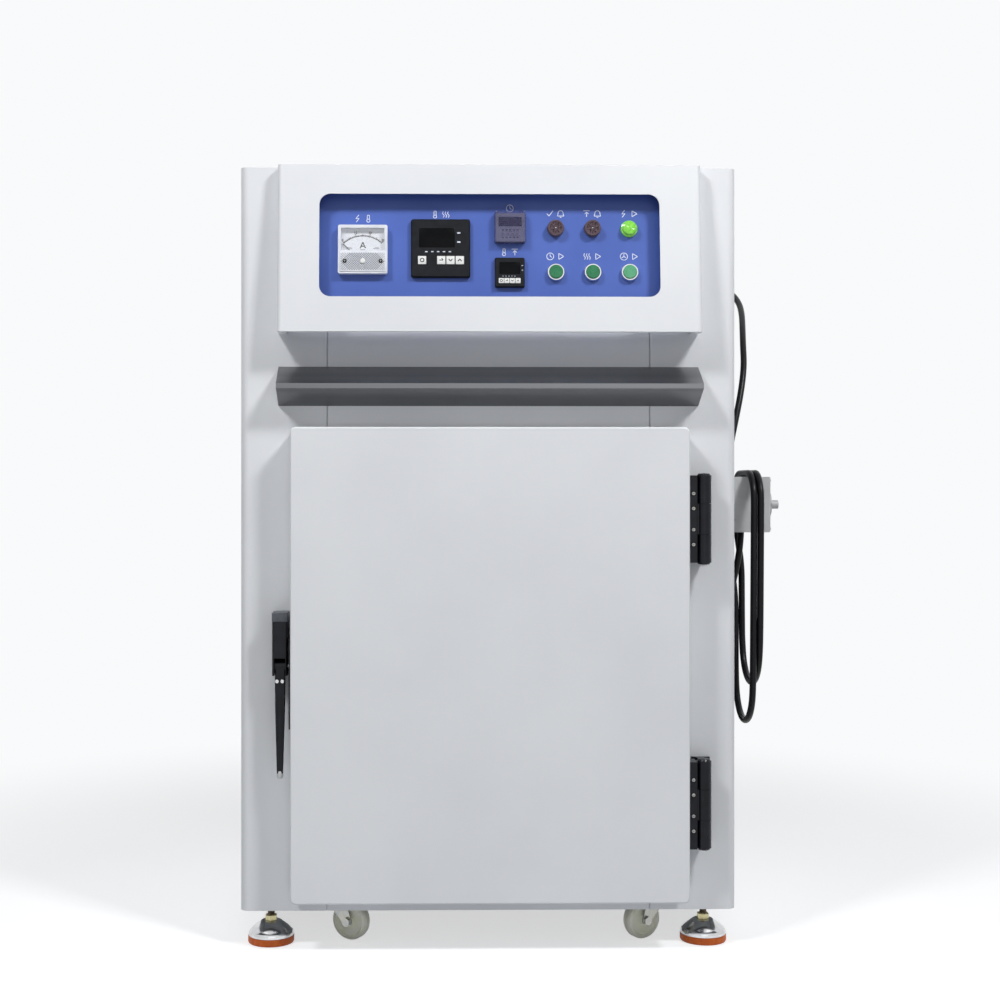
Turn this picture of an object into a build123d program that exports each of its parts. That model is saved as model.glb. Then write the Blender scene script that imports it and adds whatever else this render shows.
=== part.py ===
from build123d import *
import math
import os

# Forced air drying cabinet with a side-hinged door, in millimetres.
# Written with X to the right from the casing's middle, Y back from its front face and Z up
# from the floor. The finished pieces are moved so that the whole stands over the origin.

# Casing
casing_width = 810
casing_depth = 700
skirt_bottom = 60
casing_sheet = 1.5
casing_bend = 14
small_bend = 2.5
louvre_reach = 10
centre_panel_width = 527
seam_gap = 0.5
seam_return = 8
back_flange = 20
fit_gap = 0.3

# Base and what stands under it
base_bottom = 93
base_height = 20
base_plate = 4
base_sheet = 2
base_strip = 92
foot_x = 358
foot_inset = 38
foot_radius = 38
pad_height = 11
rim_height = 10
cone_height = 20
cone_top_radius = 17
stud_radius = 6
stud_hole_gap = 0.5
nut_width = 18
nut_height = 10
caster_left_x = -241.5
caster_right_x = 272
caster_inset = 50
wheel_radius = 32
wheel_width = 22
wheel_floor_gap = 2
wheel_bore_gap = 0.08
caster_trail = 18
caster_turn = 28
axle_radius = 4
axle_nut_width = 13
axle_nut_height = 5
kingpin_radius = 5
running_gap = 0.05
fork_sheet = 3
fork_side_gap = 1.5

# Chamber
chamber_width = 526
chamber_floor = 149
chamber_roof = 791
chamber_depth = 560
liner_sheet = 1.2
duct_width = 28
duct_front = 20
plenum_height = 101
fan_inlet_radius = 88
slot_length = 90
slot_height = 7
slot_rows = 9
slot_columns = 3
runner_levels = 5
runner_first = 220
runner_step = 90
runner_reach = 15
shelf_frame_radius = 3
shelf_rod_radius = 2
shelf_rods = 13
shelf_front = 32
shelf_back = 540
insulation_base_gap = 1
wiring_gap = 20
roof_insulation = 59
deck_sheet = 2
deck_flange = 18

# Heaters
heater_radius = 5
heater_loop = 60
heater_offset = 165
heater_lift = 50

# Fan
fan_y = 290
fan_blades = 24
fan_radius = 100
fan_eye_radius = 74
fan_height = 50
fan_lift = 18
fan_plate = 3
blade_sheet = 1.6
blade_bow = 9
hub_radius = 16
shaft_radius = 6
shaft_hole_radius = 14
motor_radius = 62
motor_length = 120
motor_fins = 20
motor_fin_height = 8
motor_flange = 6

# Door
door_width = 640
door_lap_below = 65
door_lap_above = 56
door_thickness = 47
door_stand_off = 8
door_corner = 9
door_edge = 3
door_sheet = 1.5
plug_depth = 12
plug_gap = 7
seal_width = 18
seal_inset = 5

# Hinges
hinge_length = 140
hinge_upper_drop = 147.5
hinge_lower_rise = 156
hinge_axis_offset = 25
hinge_axis_y = -38
hinge_barrel_radius = 12
hinge_pin_radius = 4
hinge_middle = 49
hinge_split = 0.5
hinge_leaf_back = -20
hinge_leaf_front = -52
hinge_base_width = 30
hinge_base_thickness = 5
hinge_web = 12

# Latch
latch_door_gap = 5
latch_width = 25
latch_bottom = 448
latch_top = 549
latch_depth = 42
latch_wall = 3.5
lever_pivot_y = -28
lever_pivot_z = 463
lever_hub_radius = 9
lever_pin_radius = 3
lever_length = 180
lever_root_width = 17
lever_tip_width = 10
lever_thickness = 11
bolt_z = 490
bolt_y = -25
bolt_radius = 7
bolt_length = 17
keeper_thickness = 3
keeper_bottom = 362
keeper_top = 508
keeper_gap = 0.4

# Control hood
hood_width = 684
hood_height = 272
hood_gap = 53
hood_top_reach = 25
hood_bottom_reach = 50
hood_corner = 8
hood_lip = 14
window_width = 549
window_rise = 56.5
window_height = 167.5
window_corner = 18
panel_set_back = 24
panel_half_width = 300
panel_rise = 40
panel_height = 200
wiring_hole_width = 500
wiring_hole_rise = 52
wiring_hole_height = 170

# Panel devices, by their place across and above the panel's middle
upper_row = 31
lower_row = -41.5
button_columns = [108, 168, 228]
ammeter_place = (-205, -5.5)
controller_place = (-79, -3)
timer_place = (34, upper_row)
limit_place = (33, -42.5)
cut_out_gap = 0.5
ammeter_size = 80
ammeter_height = 11
ammeter_window = 70
ammeter_split = -2
needle_pivot = -22
needle_length = 46
needle_sweep_deg = 90
lens_thickness = 1.5
controller_size = 96
controller_case = 90.5
controller_case_depth = 70
small_size = 48
small_case = 44.5
small_case_depth = 60
bezel_height = 8
button_bezel_radius = 14.75
button_bezel_height = 7
button_barrel_radius = 11
button_barrel_bore = 9.5
button_barrel_length = 30
button_seat = 1.5
cap_radius = 11.3
cap_gap = 0.2
cap_stand = 5.8
cap_height = 4.2
cap_stem_radius = 6
cover_size = 51
cover_height = 13
cover_wall = 1.2
cover_pin_radius = 1.5
cover_axle_radius = 0.5
cover_eye_radius = 0.95
cover_eye_x = 22.5
buzzer_radius = 13.5
buzzer_height = 9

# Heat deflector under the hood
deflector_width = 686
deflector_gap = 36
deflector_nose_rise = 26
deflector_nose_height = 8
deflector_height = 64
deflector_reach = 50
deflector_sheet = 1.2

# Rotary isolator on the right side
isolator_y = 170
isolator_width = 60
isolator_low = 672.4
isolator_high = 768.4
isolator_reach = 90.6
knob_reach = 15
knob_width = 15
knob_length = 46
knob_disc_radius = 22

# Power cord
cord_radius = 5.75
gland_y = 520
gland_z = 1150
gland_radius = 13
gland_length = 24
coil_inner_x = 450
coil_strands = 2
coil_bend = 46
coil_rest_gap = 3
coil_low_half_width = 68
coil_low_bend = 60
coil_low_inner = 414
coil_low_outer = 336
plug_length = 48
plug_radius = 19
plug_pin_radius = 2.4
plug_pin_length = 19
plug_pin_spacing = 19

# Lifting eyes
eye_x = 256
eye_front = 200
eye_back = 500
eye_ring_radius = 17
eye_wire_radius = 4.5
eye_collar_radius = 12
eye_collar_height = 6
eye_shank_radius = 5
eye_shank_length = 20

half_width = casing_width / 2
inner_half = half_width - casing_sheet
half_centre = centre_panel_width / 2
column_edge = half_centre + seam_gap
half_door = door_width / 2
door_bottom = chamber_floor - door_lap_below
door_top = chamber_roof + door_lap_above
door_front = -(door_stand_off + door_thickness)
half_chamber = chamber_width / 2
chamber_wall = half_chamber - liner_sheet
duct_face = chamber_wall - duct_width
plenum_floor = chamber_roof - plenum_height
heater_height = plenum_floor + heater_lift
fan_bottom = plenum_floor + fan_lift
insulation_top = chamber_roof + roof_insulation
deck_z = insulation_top + insulation_base_gap
wheel_z = wheel_radius + wheel_floor_gap
deflector_low = door_top + deflector_gap
deflector_nose_low = deflector_low + deflector_nose_rise
deflector_nose_high = deflector_nose_low + deflector_nose_height
deflector_high = deflector_low + deflector_height
hood_bottom = deflector_high + hood_gap
casing_top = hood_bottom + hood_height
window_low = hood_bottom + window_rise
window_high = window_low + window_height
panel_low = hood_bottom + panel_rise
panel_high = panel_low + panel_height
panel_centre_z = (panel_low + panel_high) / 2
wiring_hole_low = hood_bottom + wiring_hole_rise
wiring_hole_high = wiring_hole_low + wiring_hole_height
hood_lean = math.atan((hood_bottom_reach - hood_top_reach) / (casing_top - hood_bottom))
coil_width = coil_strands * 2 * cord_radius
isolator_out = half_width + isolator_reach
hinge_axis_x = half_door + hinge_axis_offset
hinge_lower_z = door_bottom + hinge_lower_rise
hinge_upper_z = door_top - hinge_upper_drop
hinge_heights = [hinge_lower_z, hinge_upper_z]
latch_inner_x = -half_door - latch_door_gap
latch_outer_x = latch_inner_x - latch_width
pieces = {}


def block(x_limits, y_limits, z_limits):
    """A box given by its low and high limit on each axis."""
    size = [high - low for low, high in (x_limits, y_limits, z_limits)]
    middle = [(high + low) / 2 for low, high in (x_limits, y_limits, z_limits)]
    return Pos(*middle) * Box(*size)


def turned(*points):
    """A solid of revolution about Z from points of radius and height."""
    return revolve(make_face(Plane.XZ * Polyline(*points, close=True)), axis=Axis.Z)


def upright(outline, low, high):
    """A flat outline in plan, raised from one height to another."""
    return Pos(0, 0, low) * extrude(outline, high - low)


def along_x(outline, low, high):
    """An outline drawn in Y and Z, run from one X to another."""
    return Pos(low, 0, 0) * extrude(Plane.YZ * outline, high - low)


def rod(radius, start, end):
    """A round bar from one point to another."""
    axis = Vector(*end) - Vector(*start)
    return Plane(origin=start, z_dir=axis) * Cylinder(
        radius, axis.length, align=(Align.CENTER, Align.CENTER, Align.MIN)
    )


def peg(radius, low, high):
    """A round bar standing on Z from one height to another."""
    return Pos(0, 0, low) * Cylinder(radius, high - low, align=(Align.CENTER, Align.CENTER, Align.MIN))


def hood_face_y(z):
    """How far forward the hood's sloping face stands at a height."""
    share = (z - hood_bottom) / (casing_top - hood_bottom)
    return -(hood_bottom_reach + (hood_top_reach - hood_bottom_reach) * share)


def panel_face_y(z):
    return hood_face_y(z) + panel_set_back / math.cos(hood_lean)


panel_normal = (0, -math.cos(hood_lean), math.sin(hood_lean))
panel_plane = Plane(
    origin=(0, panel_face_y(panel_centre_z), panel_centre_z), x_dir=(1, 0, 0), z_dir=panel_normal
)


def on_panel(place, shape):
    """Puts a shape, drawn flat with Z outwards, at its place on the sloping panel."""
    return panel_plane * Pos(place[0], place[1], 0) * shape


def plate(width, height, corner, low, high):
    """A flat plate with rounded corners, between two heights."""
    return upright(RectangleRounded(width, height, corner), low, high)


# Casing sheets
def make_side_panel():
    path = FilletPolyline(
        (column_edge, seam_return),
        (column_edge, 0),
        (half_width, 0),
        (half_width, casing_depth),
        (half_width - back_flange, casing_depth),
        radius=[small_bend, casing_bend, small_bend],
    )
    return upright(make_face(offset(path, amount=casing_sheet, side=Side.LEFT)), skirt_bottom, casing_top)


def make_side_panels():
    right = make_side_panel()
    hole_ends = ((inner_half - 5, gland_y, gland_z), (half_width + 5, gland_y, gland_z))
    hole = rod(gland_radius / 2 + fit_gap, *hole_ends)
    pieces["side_panel_left"] = mirror(right, about=Plane.YZ)
    pieces["side_panel_right"] = right - hole


def centre_panel(low, high):
    path = FilletPolyline(
        (-half_centre, seam_return),
        (-half_centre, 0),
        (half_centre, 0),
        (half_centre, seam_return),
        radius=small_bend,
    )
    return upright(make_face(offset(path, amount=casing_sheet, side=Side.LEFT)), low, high)


def make_front_panels():
    sill = centre_panel(skirt_bottom, chamber_floor - seam_gap)
    transom = centre_panel(chamber_roof + seam_gap, casing_top)
    half_hole = wiring_hole_width / 2
    hole = block((-half_hole, half_hole), (-5, 5), (wiring_hole_low, wiring_hole_high))
    pieces["front_panels"] = Compound([sill, transom - hole])


def tray_depth():
    """Front and back limit of what stands inside the casing, clear of its folded seams."""
    return (seam_return + fit_gap, casing_depth - casing_sheet - fit_gap)


def casing_plan(inset):
    """The plan that fills the casing inside, its corners following the casing's bends."""
    front, back = tray_depth()
    width = 2 * (inner_half - fit_gap - inset)
    corner = casing_bend - casing_sheet - inset
    return Pos(0, (front + back) / 2) * RectangleRounded(width, back - front - 2 * inset, corner)


def open_tray(z_limits, sheet, open_below=True):
    """A shallow tray of sheet that fills the casing, open below or above."""
    low, high = z_limits
    inner = (low - 1, high - sheet) if open_below else (low + sheet, high + 1)
    return upright(casing_plan(0), low, high) - upright(casing_plan(sheet), *inner)


def eye_places():
    return [(x, y) for x in (-eye_x, eye_x) for y in (eye_front, eye_back)]


def make_top_panel():
    top = open_tray((casing_top - back_flange, casing_top), casing_sheet)
    for x, y in eye_places():
        top -= Pos(x, y, 0) * peg(eye_shank_radius + fit_gap, casing_top - 5, casing_top + 5)
    pieces["top_panel"] = top


def louvre(z):
    """One pressed louvre: its hood leans out over its slot."""
    low = -louvre_reach - 2
    outline = Polyline(
        (0, 0),
        (louvre_reach, low),
        (louvre_reach, low - 1.2),
        (louvre_reach - 1.4, low - 1.2),
        (-casing_sheet, -1),
        (-casing_sheet, 0),
        close=True,
    )
    hood = along_x(make_face(outline), -60, 60)
    return Pos(0, casing_depth + casing_sheet, z) * hood


def make_back_panel():
    back = block(
        (-inner_half, inner_half), (casing_depth, casing_depth + casing_sheet), (skirt_bottom + 2, casing_top - 4)
    )
    for x in (-170, 170):
        for row in range(6):
            z = 930 + 34 * row
            back -= block((x - 59, x + 59), (casing_depth - 1, casing_depth + 5), (z - 11, z - 1.2))
            back += Pos(x, 0, 0) * louvre(z)
    pieces["back_panel"] = back


def make_base_frame():
    """An inverted tray, stiffened by a plate along its front and back for the feet and casters."""
    base = open_tray((base_bottom, base_bottom + base_height), base_sheet)
    strips = upright(casing_plan(0), base_bottom, base_bottom + base_plate)
    front, back = tray_depth()
    middle = (front + base_strip, back - base_strip)
    strips -= block((-half_width, half_width), middle, (base_bottom - 1, base_bottom + base_plate + 1))
    base += strips
    for x, y in foot_places():
        hole_radius = stud_radius + stud_hole_gap
        base -= Pos(x, y, 0) * peg(hole_radius, base_bottom - 1, base_bottom + base_height + 1)
    pieces["base_frame"] = base


def make_motor_deck():
    deck = open_tray((deck_z, deck_z + deck_flange), deck_sheet, False)
    deck -= Pos(0, fan_y, 0) * peg(shaft_hole_radius, deck_z - 1, deck_z + deck_sheet + 1)
    pieces["motor_deck"] = deck


# Levelling feet
def foot_places():
    return [(x, y) for x in (-foot_x, foot_x) for y in (foot_inset, casing_depth - foot_inset)]


def make_feet():
    pad = turned((0, 0), (foot_radius - 1, 0), (foot_radius, 2), (foot_radius, pad_height), (0, pad_height))
    rim_top = pad_height + rim_height
    cone_top = rim_top + cone_height
    dome = turned(
        (stud_radius, pad_height),
        (foot_radius - 1.5, pad_height),
        (foot_radius - 0.5, pad_height + 2),
        (foot_radius - 2, rim_top),
        (foot_radius - 9, rim_top),
        (cone_top_radius, cone_top),
        (stud_radius, cone_top),
    )
    stud = peg(stud_radius, pad_height, base_bottom + base_height + 10)
    nut = extrude(RegularPolygon(nut_width / 2, 6, major_radius=False) - Circle(stud_radius), nut_height)
    pads = []
    stems = []
    for x, y in foot_places():
        place = Pos(x, y, 0)
        pads.append(place * pad)
        stems.append(place * (dome + stud))
        stems.append(place * Pos(0, 0, cone_top) * nut)
        stems.append(place * Pos(0, 0, base_bottom - nut_height) * nut)
    pieces["foot_pads"] = Compound(pads)
    pieces["foot_stems"] = Compound(stems)


# Casters
def caster_places():
    """Name, swivel X, swivel Y and resting turn of each caster."""
    back = casing_depth - caster_inset
    return [
        ("front_left", caster_left_x, caster_inset, -caster_turn),
        ("front_right", caster_right_x, caster_inset, 180 + caster_turn),
        ("rear_left", caster_left_x, back, -caster_turn),
        ("rear_right", caster_right_x, back, 180 + caster_turn),
    ]


def make_caster_mount():
    plate_low = base_bottom - 3
    mount = plate(70, 58, 4, plate_low, base_bottom)
    mount += peg(18, plate_low - 6, plate_low)
    mount += peg(kingpin_radius, fork_top() - fork_sheet - 2, plate_low)
    mount += peg(kingpin_radius + 3, fork_top() - fork_sheet - 4, fork_top() - fork_sheet - 1)
    return mount


def fork_top():
    return base_bottom - 10


def make_caster_fork():
    """Two legs under a turning disc, and the bolt that carries the wheel."""
    half_gap = wheel_width / 2 + fork_side_gap
    outside = half_gap + fork_sheet
    top = fork_top()
    outline = make_hull(
        (Pos(0, top - 18) * Circle(16)).edges() + (Pos(caster_trail, wheel_z) * Circle(8)).edges()
    )
    outline += Pos(0, top - 9) * Rectangle(32, 18)
    outline -= Pos(caster_trail, wheel_z) * Circle(axle_radius)
    leg = extrude(Plane.XZ * outline, fork_sheet)
    fork = peg(18, top - fork_sheet, top)
    fork += block((-16, 16), (-outside, outside), (top - fork_sheet, top))
    fork -= peg(kingpin_radius + running_gap, top - 10, top + 1)
    fork += Pos(0, -half_gap, 0) * leg
    fork += Pos(0, outside, 0) * leg
    axle = rod(axle_radius, (caster_trail, -outside, wheel_z), (caster_trail, outside, wheel_z))
    for side in (-1, 1):
        plane = Plane(origin=(caster_trail, side * outside, wheel_z), z_dir=(0, side, 0))
        axle += plane * extrude(RegularPolygon(axle_nut_width / 2, 6, major_radius=False), axle_nut_height)
    return Compound([fork, axle])


def make_caster_wheel():
    half = wheel_width / 2
    bore = axle_radius + wheel_bore_gap
    profile = [
        (bore, -half - 1),
        (9, -half - 1),
        (9, -half + 3),
        (wheel_radius - 8, -half + 3),
        (wheel_radius - 6, -half),
        (wheel_radius - 2, -half + 2),
        (wheel_radius, -half + 6),
    ]
    whole = profile + [(radius, -height) for radius, height in reversed(profile)]
    return Pos(caster_trail, 0, wheel_z) * Rot(90, 0, 0) * turned(*whole)


def make_casters():
    mounts = []
    mount = make_caster_mount()
    fork = make_caster_fork()
    wheel = make_caster_wheel()
    for name, x, y, turn in caster_places():
        place = Pos(x, y, 0) * Rot(0, 0, turn)
        mounts.append(Pos(x, y, 0) * mount)
        pieces["caster_fork_" + name] = place * fork
        pieces["caster_wheel_" + name] = place * wheel
    pieces["caster_mounts"] = Compound(mounts)


# Chamber
def make_chamber_liner():
    outer = block((-half_chamber, half_chamber), (0, chamber_depth), (chamber_floor, chamber_roof))
    inner = block(
        (-chamber_wall, chamber_wall),
        (-1, chamber_depth - liner_sheet),
        (chamber_floor + liner_sheet, chamber_roof - liner_sheet),
    )
    hole = Pos(0, fan_y, 0) * peg(shaft_hole_radius, chamber_roof - 5, chamber_roof + 5)
    pieces["chamber_liner"] = outer - inner - hole


def make_air_ducts():
    floor = chamber_floor + liner_sheet
    roof = chamber_roof - liner_sheet
    back = chamber_depth - liner_sheet
    path = Polyline((-duct_face, floor), (-duct_face, plenum_floor), (duct_face, plenum_floor), (duct_face, floor))
    outline = make_face(offset(path, amount=liner_sheet, side=Side.LEFT))
    ducts = Pos(0, back, 0) * extrude(Plane.XZ * outline, back - duct_front)
    closure = (duct_front, duct_front + liner_sheet)
    for side in (-1, 1):
        span = sorted((side * duct_face, side * chamber_wall))
        ducts += block(span, closure, (floor, plenum_floor))
    ducts += block((-chamber_wall, chamber_wall), closure, (plenum_floor, roof))
    ducts -= Pos(0, fan_y, 0) * peg(fan_inlet_radius, plenum_floor - 5, plenum_floor + 5)
    pitch_y = (back - duct_front) / slot_columns
    pitch_z = (plenum_floor - floor) / slot_rows
    for column in range(slot_columns):
        y = duct_front + pitch_y * (column + 0.5)
        for row in range(slot_rows):
            z = floor + pitch_z * (row + 0.5)
            limits = ((y - slot_length / 2, y + slot_length / 2), (z - slot_height / 2, z + slot_height / 2))
            for side in (-1, 1):
                ducts -= block(sorted((side * (duct_face - 4), side * (duct_face + 4))), *limits)
    for side in (-1, 1):
        for level in range(runner_levels):
            z = runner_first + runner_step * level
            path = Polyline((duct_face, z - 12), (duct_face - liner_sheet, z - 12), (duct_face - liner_sheet, z - 1.5),
                            (duct_face - runner_reach, z - 1.5), (duct_face - runner_reach, z), (duct_face, z), close=True)
            runner = Pos(0, back - 10, 0) * extrude(Plane.XZ * make_face(path), back - 10 - duct_front - 10)
            ducts += runner if side > 0 else mirror(runner, about=Plane.YZ)
    pieces["air_ducts"] = ducts


def make_shelf(level):
    """A wire shelf: a round frame with rods from front to back."""
    z = runner_first + runner_step * level + shelf_frame_radius + fit_gap
    half = duct_face - 6
    corner = 12
    frame_path = FilletPolyline(
        (-half, shelf_front), (half, shelf_front), (half, shelf_back), (-half, shelf_back), close=True, radius=corner
    )
    ring = make_face(offset(frame_path, amount=shelf_frame_radius * 0.9)) - make_face(
        offset(frame_path, amount=-shelf_frame_radius * 0.9)
    )
    shelf = upright(ring, z - shelf_frame_radius, z + shelf_frame_radius)
    pitch = 2 * half / (shelf_rods + 1)
    for number in range(shelf_rods):
        x = -half + pitch * (number + 1)
        shelf += rod(shelf_rod_radius, (x, shelf_front, z + 0.5), (x, shelf_back, z + 0.5))
    return shelf


def make_insulation():
    low = base_bottom + base_height + fit_gap
    solid = upright(casing_plan(0), low, insulation_top)
    solid -= block((-half_width, half_width), (casing_depth - wiring_gap, casing_depth), (low - 1, insulation_top + 1))
    solid -= block(
        (-half_chamber - fit_gap, half_chamber + fit_gap),
        (-1, chamber_depth + fit_gap),
        (chamber_floor - fit_gap, chamber_roof + fit_gap),
    )
    solid -= Pos(0, fan_y, 0) * peg(shaft_hole_radius, chamber_roof - 5, insulation_top + 5)
    for x, y in foot_places():
        solid -= Pos(x, y, 0) * peg(stud_radius + 4, base_bottom, base_bottom + base_height + 20)
    pieces["insulation"] = solid


def make_heaters():
    back = chamber_depth - liner_sheet - fit_gap
    front = duct_front + 50
    bars = []
    for side in (-1, 1):
        x0 = side * heater_offset
        x1 = side * (heater_offset + heater_loop)
        path = FilletPolyline(
            (x0, back, heater_height), (x0, front, heater_height), (x1, front, heater_height), (x1, back, heater_height),
            radius=heater_loop * 0.45,
        )
        section = Plane(origin=path @ 0, z_dir=path % 0) * Circle(heater_radius)
        bars.append(sweep(section, path=path))
    pieces["heater_elements"] = Compound(bars)


# Fan: a backward plate, curved blades and an open eye towards the chamber
def make_blade():
    inner = (fan_eye_radius, 0)
    outer = (fan_radius - 2, -18)
    middle = ((inner[0] + outer[0]) / 2, (inner[1] + outer[1]) / 2 - blade_bow)
    curve = ThreePointArc(inner, middle, outer)
    return make_face(offset(curve, amount=blade_sheet, side=Side.LEFT))


def make_fan():
    top = fan_bottom + fan_height
    plate_low = top - fan_plate
    fan = peg(fan_radius, plate_low, top)
    blade = upright(make_blade(), fan_bottom + 1, plate_low)
    for number in range(fan_blades):
        fan += Rot(0, 0, number * 360 / fan_blades) * blade
    ring = Circle(fan_radius) - Circle(fan_eye_radius - 1)
    fan += upright(ring, fan_bottom, fan_bottom + 2)
    fan += peg(hub_radius, plate_low - 22, plate_low)
    fan -= peg(shaft_radius, fan_bottom - 1, top + 1)
    pieces["fan_impeller"] = Pos(0, fan_y, 0) * fan
    motor_low = deck_z + deck_sheet + motor_flange
    pieces["fan_shaft"] = Pos(0, fan_y, 0) * peg(shaft_radius, plate_low - 24, motor_low + 20)
    pieces["fan_motor"] = Pos(0, fan_y, deck_z + deck_sheet) * make_motor()


def make_motor():
    top = motor_flange + motor_length
    motor = plate(150, 150, 12, 0, motor_flange) + peg(motor_radius, motor_flange, top)
    motor += turned((0, top), (motor_radius - 2, top), (motor_radius - 8, top + 26), (0, top + 30))
    fin = block((motor_radius - 2, motor_radius + motor_fin_height), (-1.2, 1.2), (motor_flange + 14, top - 10))
    for number in range(motor_fins):
        motor += Rot(0, 0, number * 360 / motor_fins) * fin
    motor += block((-28, 28), (-motor_radius - 30, -motor_radius + 8), (40, 100))
    return motor - peg(shaft_radius + running_gap, -1, motor_flange + 20)


# Door
def rounded_pan(half, z_limits, y_front, y_back, corner, edge):
    """A flat box lying against the front, its outer corners and front edges rounded."""
    low, high = z_limits
    outline = Plane.XZ * Pos(0, (low + high) / 2) * RectangleRounded(2 * half, high - low, corner)
    pan = Pos(0, y_back, 0) * extrude(outline, y_back - y_front)
    if edge:
        pan = fillet(pan.faces().sort_by(Axis.Y)[0].edges(), edge)
    return pan


def make_door():
    back = -door_stand_off
    outer = rounded_pan(half_door, (door_bottom, door_top), door_front, back, door_corner, door_edge)
    cavity = rounded_pan(
        half_door - door_sheet,
        (door_bottom + door_sheet, door_top - door_sheet),
        door_front + door_sheet,
        back + 1,
        door_corner - door_sheet,
        door_edge - door_sheet,
    )
    pieces["door_skin"] = outer - cavity
    half_liner = half_door - door_sheet - fit_gap
    z_liner = (door_bottom + door_sheet + fit_gap, door_top - door_sheet - fit_gap)
    half_plug = chamber_wall - plug_gap
    z_plug = (chamber_floor + liner_sheet + plug_gap, chamber_roof - liner_sheet - plug_gap)
    liner = rounded_pan(half_liner, z_liner, back - door_sheet, back, door_corner - 2, 0)
    liner += rounded_pan(half_plug, z_plug, back - door_sheet, plug_depth, 6, 0)
    hollow_z = (z_plug[0] + liner_sheet, z_plug[1] - liner_sheet)
    liner -= rounded_pan(half_plug - liner_sheet, hollow_z, back - door_sheet - 1, plug_depth - liner_sheet, 5, 0)
    pieces["door_liner"] = liner
    core_z = (z_liner[0] + 0.5, z_liner[1] - 0.5)
    core_front = door_front + door_sheet + fit_gap
    core_back = back - door_sheet - fit_gap
    core = rounded_pan(half_liner - 0.5, core_z, core_front, core_back, door_corner - 2, door_edge)
    pieces["door_insulation"] = core
    pieces["door_seal"] = make_door_seal()


def make_door_seal():
    half_in = half_chamber + seal_inset
    z_in = (chamber_floor - seal_inset, chamber_roof + seal_inset)
    z_out = (z_in[0] - seal_width, z_in[1] + seal_width)
    ring = rounded_pan(half_in + seal_width, z_out, -door_stand_off, -fit_gap, 16, 0)
    ring -= rounded_pan(half_in, z_in, -door_stand_off - 1, 1, 4, 0)
    crown = ring.faces().filter_by(Axis.Y).sort_by(Axis.Y)[-1]
    return fillet(crown.outer_wire().edges(), 3)


# Hinges: three knuckles on a fixed pin, the middle one on the door
def make_hinge_frame_leaf():
    half = hinge_length / 2
    half_base = hinge_base_width / 2
    centre = Pos(hinge_axis_x, hinge_axis_y, 0)
    bore = centre * peg(hinge_pin_radius, -half - 1, half + 1)
    leaf = block((hinge_axis_x - half_base + 1, hinge_axis_x + half_base + 1), (-hinge_base_thickness, 0), (-half, half))
    web = (hinge_axis_x - hinge_web / 2, hinge_axis_x + hinge_web / 2)
    for low, high in ((-half, -hinge_middle / 2 - hinge_split), (hinge_middle / 2 + hinge_split, half)):
        leaf += centre * peg(hinge_barrel_radius, low, high)
        leaf += block(web, (hinge_axis_y, -hinge_base_thickness), (low, high))
    pin = centre * peg(hinge_pin_radius, -half, half)
    cap = centre * turned((0, 0), (hinge_barrel_radius - 1, 0), (hinge_barrel_radius - 3, 3), (0, 4))
    caps = [Pos(0, 0, half) * cap, Pos(0, 0, -half) * mirror(cap, about=Plane.XY)]
    return [leaf - bore, pin + caps[0] + caps[1]]


def make_hinge_door_leaf():
    half = hinge_length / 2
    right = hinge_axis_x - hinge_barrel_radius - hinge_split
    centre = Pos(hinge_axis_x, hinge_axis_y, 0)
    leaf = block((half_door, right), (hinge_leaf_front, hinge_leaf_back), (-half, half))
    leaf = fillet(leaf.edges().filter_by(Axis.Z).sort_by(Axis.Y)[:2], 2)
    leaf += centre * peg(hinge_barrel_radius, -hinge_middle / 2, hinge_middle / 2)
    leaf += block(
        (right - 1, hinge_axis_x), (hinge_axis_y - 8, hinge_axis_y + 8), (-hinge_middle / 2, hinge_middle / 2)
    )
    leaf -= centre * peg(hinge_pin_radius + running_gap, -half, half)
    middle = (half_door + right) / 2
    for z in (-half + 29, half - 53, -half + 53, half - 29):
        leaf -= Pos(middle, hinge_leaf_front, z) * Rot(90, 0, 0) * Cylinder(3.2, 3)
    return leaf


def make_hinges():
    frame_leaf = make_hinge_frame_leaf()
    door_leaf = make_hinge_door_leaf()
    pieces["hinge_frame_leaves"] = Compound([Pos(0, 0, z) * solid for z in hinge_heights for solid in frame_leaf])
    pieces["hinge_door_leaves"] = Compound([Pos(0, 0, z) * door_leaf for z in hinge_heights])


# Latch: the lever draws the bolt back from the keeper on the door's edge
def make_latch_body():
    body = block((latch_outer_x, latch_inner_x), (-latch_depth, 0), (latch_bottom, latch_top))
    front = body.faces().sort_by(Axis.Y)[0].edges()
    body = fillet(front.sort_by(Axis.Z)[-1:] + front.filter_by(Axis.Z), 4)
    body -= block(
        (latch_outer_x + latch_wall, latch_inner_x - latch_wall),
        (-latch_depth + latch_wall, -latch_wall),
        (latch_bottom - 1, latch_top - 8),
    )
    body -= block(
        (latch_outer_x + latch_wall, latch_inner_x - latch_wall),
        (-latch_depth - 1, -latch_depth + latch_wall + 1),
        (latch_bottom - 1, lever_pivot_z + lever_hub_radius + 4),
    )
    body -= rod(bolt_radius + cap_gap, (latch_inner_x - 6, bolt_y, bolt_z), (latch_inner_x + 2, bolt_y, bolt_z))
    pin_ends = ((latch_outer_x - 1, lever_pivot_y, lever_pivot_z), (latch_inner_x + 1, lever_pivot_y, lever_pivot_z))
    pin = rod(lever_pin_radius, *pin_ends)
    return Compound([body - rod(lever_pin_radius, *pin_ends), pin])


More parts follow.
